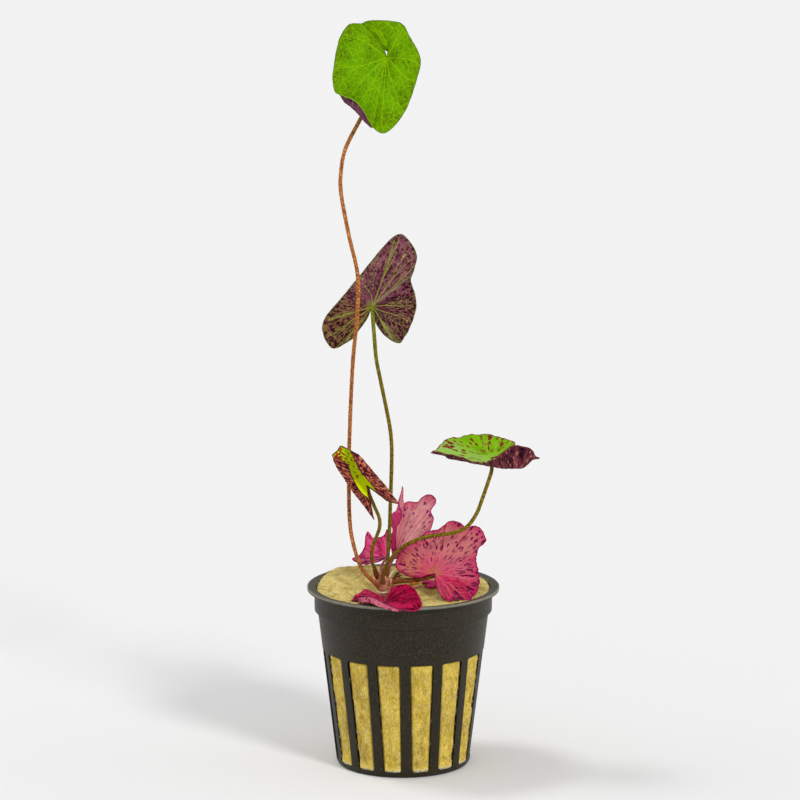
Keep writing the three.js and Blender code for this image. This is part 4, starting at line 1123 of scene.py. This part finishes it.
def make_wool(material):
    """The plug: rings up its side, then inwards over its top. The side's radius is the pot's inner
    wall less the gap, plus a step out to the pot's face in each slot, plus fibrous noise; the wool
    bulges a little at each slot's foot. The top is plug_height."""
    half = math.degrees(SLOT_HALF)
    right = np.concatenate([
        np.linspace(0, half - 0.85, 8), half - np.array([0.6, 0.42, 0.28, 0.16, 0.06]),
        [half + 0.3], np.linspace(half + 1.2, 180 / SLOT_COUNT, 4),
    ])
    sector = np.radians(np.concatenate([-right[:0:-1], right[:-1]]))
    turn = RIB_TURN + ((np.arange(SLOT_COUNT)[:, None] + 0.5) * SLOT_SPAN + sector).ravel()
    side_z = np.concatenate([
        [WALL + GAP, SLOT_BOTTOM - 0.1, SLOT_BOTTOM + 0.05, SLOT_BOTTOM + 0.2],
        np.linspace(SLOT_BOTTOM + 0.45, SLOT_TOP - 0.45, 84),
        [SLOT_TOP - 0.2, SLOT_TOP - 0.05, SLOT_TOP + 0.1],
        np.linspace(SLOT_TOP + 1, PLUG_LEVEL - 0.9, 10),
    ])
    a, z = np.meshgrid(turn, side_z)
    in_slot = (a - RIB_TURN) % SLOT_SPAN - SLOT_SPAN / 2
    base = wall_radius(np.minimum(z, STEP_HEIGHT)) - WALL - GAP
    margin = (SLOT_HALF - np.abs(in_slot)) * base
    margin = np.minimum(margin, np.minimum(z - SLOT_BOTTOM, SLOT_TOP - z))
    a = widened(a, z)
    fibrous = layered_noise(around(base, a, z) * (1, 1, 0.55), 1.4, 5)
    swell = smooth(margin, 0.06, 0.45)
    foot = 1 - smooth(z, SLOT_BOTTOM + 0.6, SLOT_BOTTOM + 3)
    collar = smooth(z, STEP_HEIGHT + 0.6, PLUG_LEVEL - 1.4)
    out = WALL + GAP - 0.27 + 0.2 * fibrous + 0.3 * foot - sunk(a)
    r = base + swell * out + collar * (PLUG_EDGE - base) - 0.1 * (1 - swell)
    side = around(r, a, z)
    rings = np.concatenate([[PLUG_EDGE], np.linspace(PLUG_EDGE - 0.35, 0.4, 76)])[:, None]
    x, y = rings * np.sin(turn), -rings * np.cos(turn)
    top = np.stack([x, y, plug_height(x, y)], 2)
    points = np.concatenate([side[:1] * (0.5, 0.5, 1), side, top])
    ends = [[0, 0, WALL + GAP], [0, 0, plug_height(np.zeros(1), np.zeros(1))[0]]]
    faces = capped(*points.shape[:2])
    points = np.concatenate([points.reshape(-1, 3), ends])
    dress(make_piece("wool_plug", points, faces, [material]), "rockwool", "rockwool")


def strands(feet, headings, lift, length, radius, seed, steps=6):
    """Many thin bent strands at once: from each foot along its heading, curling sideways and rising
    by `lift`, each a three-sided tube that narrows to both ends."""
    rng = np.random.default_rng(seed)
    count = len(feet)
    t = np.linspace(0, 1, steps)[None, :, None]
    up = unit(lift)
    side = unit(np.cross(headings, up))
    length = length * rng.uniform(0.5, 1.3, (count, 1, 1))
    bow, curl = rng.normal(0, 0.4, (count, 1, 1)), rng.normal(0, 0.12, (count, 1, 1))
    phase = rng.uniform(0, 6, (count, 1, 1))
    sway = bow * (t - t * t) * 2 + curl * np.sin(7 * t + phase)
    arch = np.linalg.norm(lift, axis=1)[:, None, None]
    path = feet[:, None] + headings[:, None] * length * (t - 0.5) + side[:, None] * sway * length
    path = path + up[:, None] * arch * (4 * (t - t * t) - 0.35)
    a = circle(3)[None, None, :, None]
    ring = np.cos(a) * side[:, None, None] + np.sin(a) * up[:, None, None]
    wide = radius * (1 - 0.7 * np.abs(2 * t - 1))
    points = (path[:, :, None] + wide[..., None] * ring).reshape(-1, 3)
    caps = np.array([[2, 1, 0], [steps * 3 - 3, steps * 3 - 2, steps * 3 - 1]])
    start = (np.arange(count) * steps * 3)[:, None, None]
    blocks = (grid_quads(steps, 3, wrap=True), caps)
    return points, [(start + block).reshape(-1, block.shape[1]) for block in blocks]


def make_fibres(name, shapes, materials):
    """Loose strands of wool as one piece, each lot of them in its own material."""
    piece = make_piece(name, *merged(shapes), materials, np.repeat(range(len(shapes)), 2).tolist())
    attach(piece, "root")


def top_strands(count, seed):
    """Strands that lie every way over the plug's top."""
    rng = np.random.default_rng(seed)
    r = (PLUG_EDGE - 0.6) * np.sqrt(rng.uniform(0, 1, count))
    a, way = rng.uniform(0, 2 * math.pi, (2, count))
    x, y = r * np.sin(a), -r * np.cos(a)
    feet = np.stack([x, y, plug_height(x, y) + 0.02], 1)
    headings = np.stack([np.cos(way), np.sin(way), 0 * way], 1)
    lift = np.stack([0 * x, 0 * x, rng.uniform(0.06, 0.35, count)], 1)
    return strands(feet, headings, lift, 2.4, 0.045, seed + 1)


def slot_strands(count, low, high, length, radius, lean, seed):
    """Strands that run mostly upright over the wool in the slots, between two heights."""
    rng = np.random.default_rng(seed)
    k = rng.integers(0, SLOT_COUNT, count)
    z = rng.uniform(low, high, count)
    room = SLOT_HALF - 0.7 / 22  # 0.7 mm short of the slot's edge, as an angle
    a = widened(RIB_TURN + (k + 0.5) * SLOT_SPAN + rng.uniform(-room, room, count), z)
    feet = around(wall_radius(z) - 0.22 - sunk(a), a, z)
    tangent = np.stack([np.cos(a), np.sin(a), 0 * a], 1)
    headings = unit(tangent * rng.normal(0, lean, count)[:, None] + np.array([0, 0, 1.0]))
    lift = around(1, a, 0 * a) * rng.uniform(0.04, 0.22, count)[:, None]
    return strands(feet, headings, lift, length, radius, seed + 1)


# ---------- crown ----------


def make_crown(material):
    """The crown: lumpy balls run together, with the rooted stub below them."""
    balls = (
        ((-5.6, -1.0, 52.5), (2.1, 1.9, 2.3)), ((-6.9, -1.5, 52.6), (1.3, 1.2, 1.5)),
        ((-4.2, -1.5, 53.0), (1.5, 1.3, 1.5)), ((-5.5, -2.6, 52.0), (1.4, 1.0, 1.7)),
        ((-5.3, 0.9, 52.9), (1.7, 1.4, 1.4)),
    )
    shapes = [lumpy_ball(centre, halves, 1 + k) for k, (centre, halves) in enumerate(balls)]
    stub = [(-5.5, -2.6, 51.5), (-5.3, -3.3, 49.5), (-5.2, -3.6, 47), (-5.2, -3.6, 45)]
    stub = curve(stub, np.linspace(0, 1, 50))
    ridges = 0.12 * np.sin(3 * circle(24))[None]
    ridged = 0.85 + ridges + 0.12 * layered_noise(stub, 1.0, 6)[:, None]
    shapes.append(tube(stub, ridged, 24))
    dress(make_piece("crown_flesh", *merged(shapes), [material]), "crown_tissue", "crown")


def make_sheath(material):
    """The pale ring: a thin tube that bends round the front of the crown's foot."""
    a = np.radians(np.linspace(-105, 105, 90))
    height = 51.1 - 0.3 * np.cos(a) + 0.05 * np.sin(7 * a)
    path = around(1.95 + 0.06 * np.sin(a * 5), a, height) + (-5.8, -3.1, 0)
    thin = 0.16 * (0.5 + np.cos(a * 0.8)) + 0.03 * lattice_noise(path, 0.4, 4)
    piece = make_piece("crown_ring", *tube(path, thin, 12, (0, 0, 1)), [material])
    dress(piece, "pale_tissue", "crown_sheath")


def make_shoots(materials, count=17, steps=18):
    """Young shoots beside the crown: tapered bent points that lean out to the right and up."""
    rng = np.random.default_rng(3)
    shapes, groups = [], []
    thin = 0.26 * (1 - np.linspace(0, 1, steps) ** 1.6) + 0.015
    for k in range(count):
        x, y, z = -4.3 + 1.5 * rng.random(), -0.9 + 1.6 * rng.random(), 53.2 + 0.6 * rng.random()
        foot = np.array([x, y, z])
        reach = 2.4 + 1.6 * rng.random()
        lean = math.radians(30 + 55 * k / count + 14 * rng.random())
        way = [math.sin(lean), 0.15 * rng.standard_normal(), 0.85 * math.cos(lean) + 0.15]
        tip = foot + reach * np.array(way)
        bend = (foot + tip) / 2 + np.array([0, 0.1, 0.35])
        shapes.append(tube(curve([foot, bend, tip], np.linspace(0, 1, steps)), thin, 10))
        groups += [(0, 1, 0, 2)[k % 4]] * 3
    piece = make_piece("young_shoot_tips", *merged(shapes), materials, groups)
    dress(piece, "pale_tissue", "young_shoots")


def make_old_stalk(material):
    """The dead stalk's stub: a short tube whose radius falls by 0.75 x share^2.5 to a point."""
    t = np.linspace(0, 1, 40)
    path = curve([(-7.1, -1.0, 53.5), (-8.1, -1.4, 55.3), (-8.6, -1.9, 57.2)], t)
    thin = 0.42 * (1 - 0.75 * t**2.5) + 0.03 * lattice_noise(path, 0.5, 5)
    piece = make_piece("old_stalk_stub", *tube(path, thin, 14), [material])
    dress(piece, "stalk_amber", "old_stalk")


def make_scrap(material, rows=60, columns=26):
    """The dried leaf bit: a curled strip, a thin closed shell over a wavy grid."""
    t = np.linspace(0, 1, rows)
    u, v = np.meshgrid(t, np.linspace(-1, 1, columns), indexing="ij")
    spine = curve([(0.9, -2.9, 51.8), (1.9, -3.3, 53.0), (3.1, -3.1, 53.5), (4.6, -2.5, 52.9)], t)
    wide = 1.05 * np.sin(np.pi * np.clip(u * 0.86 + 0.1, 0, 1)) ** 0.7
    curled = [0.35 * v * wide, 0.55 * v * wide, -0.7 * np.abs(v) ** 1.6 * wide + 0.3 * v * wide]
    middle = spine[:, None] + np.stack(curled, 2)
    middle = middle + 0.28 * lattice_noise(middle, 0.8, 9)[..., None]
    across = unit(np.cross(np.gradient(middle, axis=0), np.gradient(middle, axis=1)))
    points = np.concatenate([(middle + side * across).reshape(-1, 3) for side in (0.07, -0.07)])
    quads, count = grid_quads(rows, columns), rows * columns
    number = np.arange(count).reshape(rows, columns)
    loop = number.T[border(0, columns - 1, 0, rows - 1)]
    faces = [quads, count + quads[:, ::-1], band(loop, count + loop)[:, ::-1]]
    dress(make_piece("dried_leaf_bit", points, faces, [material]), "dried_tissue", "dried_scrap")


# ---------- the scene round it ----------


def make_floor():
    """A pale floor that stretches far behind the pot."""
    x, y = np.meshgrid([-6000, 6000], [-3000, 12000], indexing="xy")
    points = np.stack([x, y, np.full((2, 2), -0.02)], 2).reshape(-1, 3)
    mesh = bpy.data.meshes.new("floor")
    mesh.from_pydata((points * MM).tolist(), [], [(0, 1, 3, 2)])
    p = Paint("floor")
    mesh.materials.append(p.finish(0xF0F0F0, 0.9, Specular_IOR_Level=0.0))
    floor = bpy.data.objects.new("floor", mesh)
    bpy.context.collection.objects.link(floor)


def make_light():
    """Even light from all round, a broad sun low at the front right, one high at the back left, and
    faint wide ones from the front and from both sides."""
    world = bpy.data.worlds.new("studio")
    bpy.context.scene.world = world
    world.use_nodes = True
    back = world.node_tree.nodes["Background"]
    back.inputs[0].default_value = (1, 1, 1, 1)
    back.inputs[1].default_value = 0.48
    suns = (
        ("key", 1.45, 13, 58.5, 37), ("back", 0.7, 14, 26, -111), ("front", 0.3, 90, 78, -25),
        ("left", 0.75, 50, 80, -95), ("right", 0.4, 50, 80, 95),
    )
    for name, strength, wide, tilt, swing in suns:
        sun = bpy.data.lights.new(name, "SUN")
        sun.energy = strength
        sun.angle = math.radians(wide)
        lamp = bpy.data.objects.new(name, sun)
        lamp.rotation_euler = (math.radians(tilt), 0, math.radians(swing))
        bpy.context.collection.objects.link(lamp)


def make_camera():
    """A long lens, about a metre off, looking slightly down."""
    lens = bpy.data.cameras.new("camera")
    lens.lens, lens.sensor_width = 177.68, 36
    lens.clip_start, lens.clip_end = 0.05, 30
    camera = bpy.data.objects.new("camera", lens)
    camera.location = (-0.00093, -1.1, 0.3163)
    camera.rotation_euler = (math.pi / 2 - 0.1891, 0, 0)
    bpy.context.collection.objects.link(camera)
    bpy.context.scene.camera = camera


make_camera()
make_floor()
make_light()
bpy.context.scene.view_settings.view_transform = "Standard"

make_pot(pot_paint())
make_wool(wool_paint())
pale_wool = plain_paint("pale_wool", 0xFEF6C4, 0xE6CE6E, 2.0, 0.9)
ochre_wool = plain_paint("ochre_wool", 0xD4B442, 0xAA861E, 2.0, 0.9)
frayed_wool = plain_paint("frayed_wool", 0xFFFDF0, 0xEEE4B0, 1.0, 0.85)
make_fibres("top_strands", [top_strands(3000, 7), top_strands(1600, 9)], [pale_wool, ochre_wool])
make_fibres("slot_strands", [
    slot_strands(2600, SLOT_BOTTOM + 1, SLOT_TOP - 1, 2.2, 0.05, 0.5, 12),
    slot_strands(1900, SLOT_BOTTOM + 1, SLOT_TOP - 1, 2.2, 0.05, 0.5, 14),
    slot_strands(900, SLOT_BOTTOM - 0.1, SLOT_BOTTOM + 0.7, 0.8, 0.055, 1.0, 16),
], [pale_wool, ochre_wool, frayed_wool])

amber = stalk_paint("stalk_amber", 0xB2662C, 0x643216, 0xDE9C58,
                    0x92482E, (0x98701E, 172, 194))
olive = stalk_paint("stalk_olive", 0x766406, 0x483604, 0x988A1A,
                    0x763E24, (0x708416, 110, 128))
brown = stalk_paint("stalk_brown", 0x925624, 0x542A0E, 0xB07836,
                    0x783C22)
rosy = stalk_paint("stalk_rosy", 0xE88AAA, 0xC4627C, 0xF8BED6,
                   0xBE685C)
looks = [(amber, "stalk_amber"), *[(olive, "stalk_olive")] * 3, (brown, "stalk_pink"),
         *[(rosy, "stalk_pink")] * 4]
for seed, (name, look) in enumerate(zip(STALKS, looks)):
    make_stalk(name, *look, seed)

make_crown(plain_paint("crown_flesh", 0xD89478, 0x884830, 0.9, 0.45, 0.05))
make_sheath(plain_paint("pale_ring", 0xEECDB4, 0xCD9682, 0.5))
make_shoots([
    plain_paint("shoot_pale", 0xFFF8E2, 0xE8D6A0, 0.5),
    plain_paint("shoot_green", 0xB0BA54, 0x787E28, 0.5),
    plain_paint("shoot_brown", 0x8C321A, 0x501A0E, 0.5),
])
make_old_stalk(plain_paint("old_stalk", 0x963223, 0x5A1914, 0.5))
make_scrap(plain_paint("dried_bit", 0xD6802C, 0x6E320C, 0.5, 0.6, 0.1))

wine = 0x3E0822
tall_top = leaf_paint(
    "tall_leaf_top", 0x70AA00, 0x629800, 0x96CE04, 0x628000,
    washes=[(0x84BA00, "reach", 4.5, 0.5, 0.6), (0x689200, "edge", 6, 1, 0.4)],
    net=(0x96CC06, 1.6, 0.13, 0.7), mottle=(0x545A00, 0.6, 0.46, 0.6, 5, 9, 2.6, 2.1),
    margin_width=0.12, through=0.14)
under_purple = leaf_paint(
    "purple_underside", 0x7A4664, 0x522846, 0x96825A, 0x8CBE06,
    flecks=[(wine, 1.6, 1.0, 0.36, 0.6, 1, 3)], through=0.1)
make_leaf("tall_leaf", TALL_LEAF, [tall_top, under_purple], "leaf_green", 11,
          (0.06, 0.16, 0.25, 0.33, 0.42, 0.5, 0.58, 0.67, 0.76, 0.86, 0.95), 0.045, vein=0.15,
          ruffle=(0.1, 7), teeth=0.08)

middle_under = leaf_paint(
    "middle_leaf_under", 0x884C60, 0x683246, 0xB6B654, 0x64760C,
    washes=[(0x808C14, "reach", 2.4, 0.4, 0.6), (0x765826, "turn", 1.9, 0.9, 0.7),
            (0x686E28, "edge", 1.3, 0.1, 0.4), (0x5C2E2C, "turn", 3.7, 4.1, 0.6),
            (0x60743E, "turn", 4.9, 5.3, 0.4)],
    net=(0xA0984E, 1.6, 0.08, 0.6),
    flecks=[(0x320816, 1.7, 0.8, 0.46, 0.75, 1.5, 6, 0.3, 1.4),
            (0x320818, 1.6, 0.8, 0.46, 0.75, 1.5, 3, 4.7, 0.9),
            (0x401026, 1.5, 0.8, 0.4, 0.4, 3, 9), (0x541E32, 0.9, 0.6, 0.42, 0.5, 2, 14)],
    rib=0x74980A, crease_shading=0x8C8E60, through=0.08, vein_share=0.95, margin_width=0.1)
middle_top = leaf_paint(
    "middle_leaf_top", 0x709614, 0x50780A, 0x8CB028, 0x505A14,
    flecks=[(0x700E22, 1.8, 0.9, 0.36, 0.5, 2, 2)], net=(0x82A028, 2.2, 0.12, 0.5))
make_leaf("middle_leaf", MIDDLE_LEAF, [middle_top, middle_under], "leaf_purple", 23,
          (0.06, 0.14, 0.23, 0.34, 0.46, 0.54, 0.63, 0.74, 0.83, 0.93), 0.045,
          (1, 1, 1, 1, 1.5, 1, 1, 1, 1, 1), 0.085, (430, 108), (0.15, 8),
          creases=[([(0.64, 0.15), (0.645, 0.5), (0.65, 0.95)], 0.7, -0.35)])

young_top = leaf_paint(
    "young_leaf_top", 0xF0FF00, 0xDCFA00, 0xECFC28, 0x782C1E,
    washes=[(0x92D400, "reach", 9, 13, 0.8)], through=0.04,
    flecks=[(0xBE1428, 1.2, 0.9, 0.4, 0.6, 2.5, 4), (0x8C0A24, 0.9, 0.7, 0.4, 0.3, 3, 14),
            (0x7A0C22, 2.0, 1.0, 0.46, 0.8, 8, 9)])
young_under = leaf_paint(
    "young_leaf_under", 0xE4845C, 0xC4624E, 0xBC7C64, 0x601A2C,
    mottle=(0x480A24, 0.75, 0.47, 0.56, 0, 30),
    flecks=[(0x3E081C, 0.9, 0.7, 0.5, 0.7, 0.5, 5), (0x3A061A, 1.5, 0.8, 0.5, 0.6, 0.5, 9)],
    vein_share=0.4)
make_leaf("rolled_leaf", ROLLED_LEAF, [young_top, young_under], "leaf_young", 31,
          np.linspace(0.06, 0.94, 9), 0.04, 0.8, ruffle=(0.03, 7), crumple=0.06, quilt=0.08)

side_top = leaf_paint(
    "side_leaf_top", 0x84BE00, 0x6EAA00, 0xA0D032, 0x7A421E,
    washes=[(0xB0D474, "turn", 1.5, 2.3, 0.75), (0xA4CE5A, "reach", 4.5, 1, 0.5)], through=0.15,
    flecks=[(0x7A0A22, 3.2, 1.1, 0.36, 0.55, 3, 7), (0x881228, 2.2, 0.8, 0.36, 0.5, 2.5, 12)])
side_under = leaf_paint(
    "side_leaf_under", 0x702E40, 0x4E182C, 0x8C5448, 0x703632,
    mottle=(0x280618, 0.8, 0.48, 0.58, 0, 30), vein_share=0.5, through=0.05,
    flecks=[(0x220412, 1.8, 0.6, 0.46, 0.5, 1, 2), (0xA0605C, 2.0, 0.5, 0.34, 0.5, 1, 9)])
make_leaf("side_leaf", SIDE_LEAF, [side_top, side_under], "leaf_green", 41,
          np.linspace(0.05, 0.95, 14), 0.034, 0.9, ruffle=(0.15, 14), teeth=0.25)

plum = 0x78104E
right_top = leaf_paint(
    "right_leaf_top", 0xDE7C80, 0xD26074, 0xE47C8A, 0xA81854,
    washes=[(0xCC7A4C, "turn", 1.5, 0.6, 0.7), (0xC88274, "turn", 1.2, 2.3, 0.4),
            (0xCE2C6C, "turn", 2.7, 3.2, 0.5), (0xC80E42, "turn", 3.4, 4.0, 0.85),
            (0xCA2866, "edge", 3.5, 0.3, 0.7), (0xE03E70, "reach", 8, 3, 0.55),
            (0xBA6E28, "reach", 3, 0.8, 0.85)],
    flecks=[(plum, 2.4, 1.0, 0.36, 0.42, 3, 1), (0x8C0C4E, 1.7, 0.7, 0.32, 0.4, 2.5, 15),
            (0x5C083C, 3.4, 0.9, 0.42, 0.6, 6, 4, 4.3, 0.8),
            (0x600842, 4.0, 0.8, 0.38, 0.5, 10, 6)],
    # painted shade in the creases
    crease_shading=0x8A0A3E, vein_share=0.5, through=0.16)
rear_top = leaf_paint(
    "rear_leaf_top", 0xE89E9E, 0xDE808C, 0xF0B0AC, 0xC43464,
    washes=[(0xD43C6E, "edge", 2.5, 0.3, 0.7), (0xD43C74, "turn", 0.85, 0.35, 0.75),
            (0xD44A78, "reach", 9, 3, 0.5), (0xC63066, "turn", 1.3, 1.5, 0.65)],
    flecks=[(0x922470, 1.6, 0.9, 0.38, 0.26, 4, 1), (0xB0326E, 1.2, 0.5, 0.32, 0.35, 3, 5),
            (0x801050, 3.0, 0.6, 0.4, 0.6, 8, 8, 1.5, 0.12)], through=0.18)
pink_under = leaf_paint(
    "pink_leaf_under", 0xCE3C70, 0xB2265C, 0xD66E8C, 0xAA1E56,
    flecks=[(plum, 2.2, 1.1, 0.34, 0.45, 2, 1)], through=0.18)
hot_top = leaf_paint(
    "hot_leaf_top", 0xF2367E, 0xEC508A, 0xEE88A0, 0xB81456,
    washes=[(0x701856, "turn", 0.95, 0.4, 0.65)],
    flecks=[(plum, 1.7, 0.8, 0.34, 0.4, 1, 8), (0x5C0A38, 1.4, 0.9, 0.42, 0.6, 6.5, 3)],
    through=0.22)
crimson_top = leaf_paint(
    "crimson_leaf_top", 0xBE0646, 0x860428, 0xC82456, 0xB81E4E,
    # the first wash is painted shade, darker towards the heart, which lies low under the crown
    washes=[(0x68041A, "reach", 7, 2, 0.7), (0xCE3C68, "turn", 2.9, 2.2, 0.6)],
    flecks=[(0x380216, 1.5, 1.0, 0.42, 0.55, 1.5, 5), (0x540420, 1.2, 0.8, 0.4, 0.55, 1.5, 2)],
    through=0.1, gloss=0.02)
mauve_under = leaf_paint(
    "mauve_leaf_under", 0xD66278, 0xB8506A, 0xDC8A98, 0x782854,
    flecks=[(0x6E1646, 2.0, 0.8, 0.36, 0.5, 1, 2)], through=0.12)
low_top = leaf_paint(
    "low_leaf_top", 0xFF46A0, 0xF62C84, 0xF06E96, 0xBE145A,
    flecks=[(plum, 1.2, 1.0, 0.32, 0.3, 1, 8)], through=0.3)
creases = [
    ([(0.34, 0.45), (0.33, 0.7), (0.32, 0.99)], 0.6, -0.6),
    ([(0.45, 0.62), (0.455, 0.8), (0.46, 0.99)], 0.5, -0.45),
    ([(0.22, 0.7), (0.26, 0.82), (0.3, 0.97)], 0.4, -0.3),
]
make_leaf("pink_leaf_right", PINK_RIGHT, [right_top, pink_under], "leaf_pink", 51,
          np.linspace(0.04, 0.96, 14), 0.034, ruffle=(0.35, 11), crumple=0.4, teeth=0.25,
          creases=creases)
make_leaf("pink_leaf_rear", PINK_REAR, [rear_top, pink_under], "leaf_pink", 61,
          np.linspace(0.2, 0.95, 8), 0.045, ruffle=(0.2, 9), crumple=0.3, teeth=0.12)
make_leaf("pink_leaf_left", PINK_LEFT, [hot_top, pink_under], "leaf_pink", 71,
          np.linspace(0.08, 0.92, 7), 0.05, 0.8, grid=(240, 60), ruffle=(0.2, 9), crumple=0.25)
make_leaf("pink_leaf_front", PINK_FRONT, [crimson_top, mauve_under], "leaf_pink", 81,
          np.linspace(0.05, 0.95, 12), 0.036, ruffle=(0.12, 9), crumple=0.3, teeth=0.15)
make_leaf("pink_leaf_low", PINK_LOW, [low_top, low_top], "leaf_pink", 91,
          np.linspace(0.1, 0.9, 6), 0.05, 0.7, grid=(120, 36), ruffle=(0.06, 7), crumple=0.1,
          quilt=0.06)
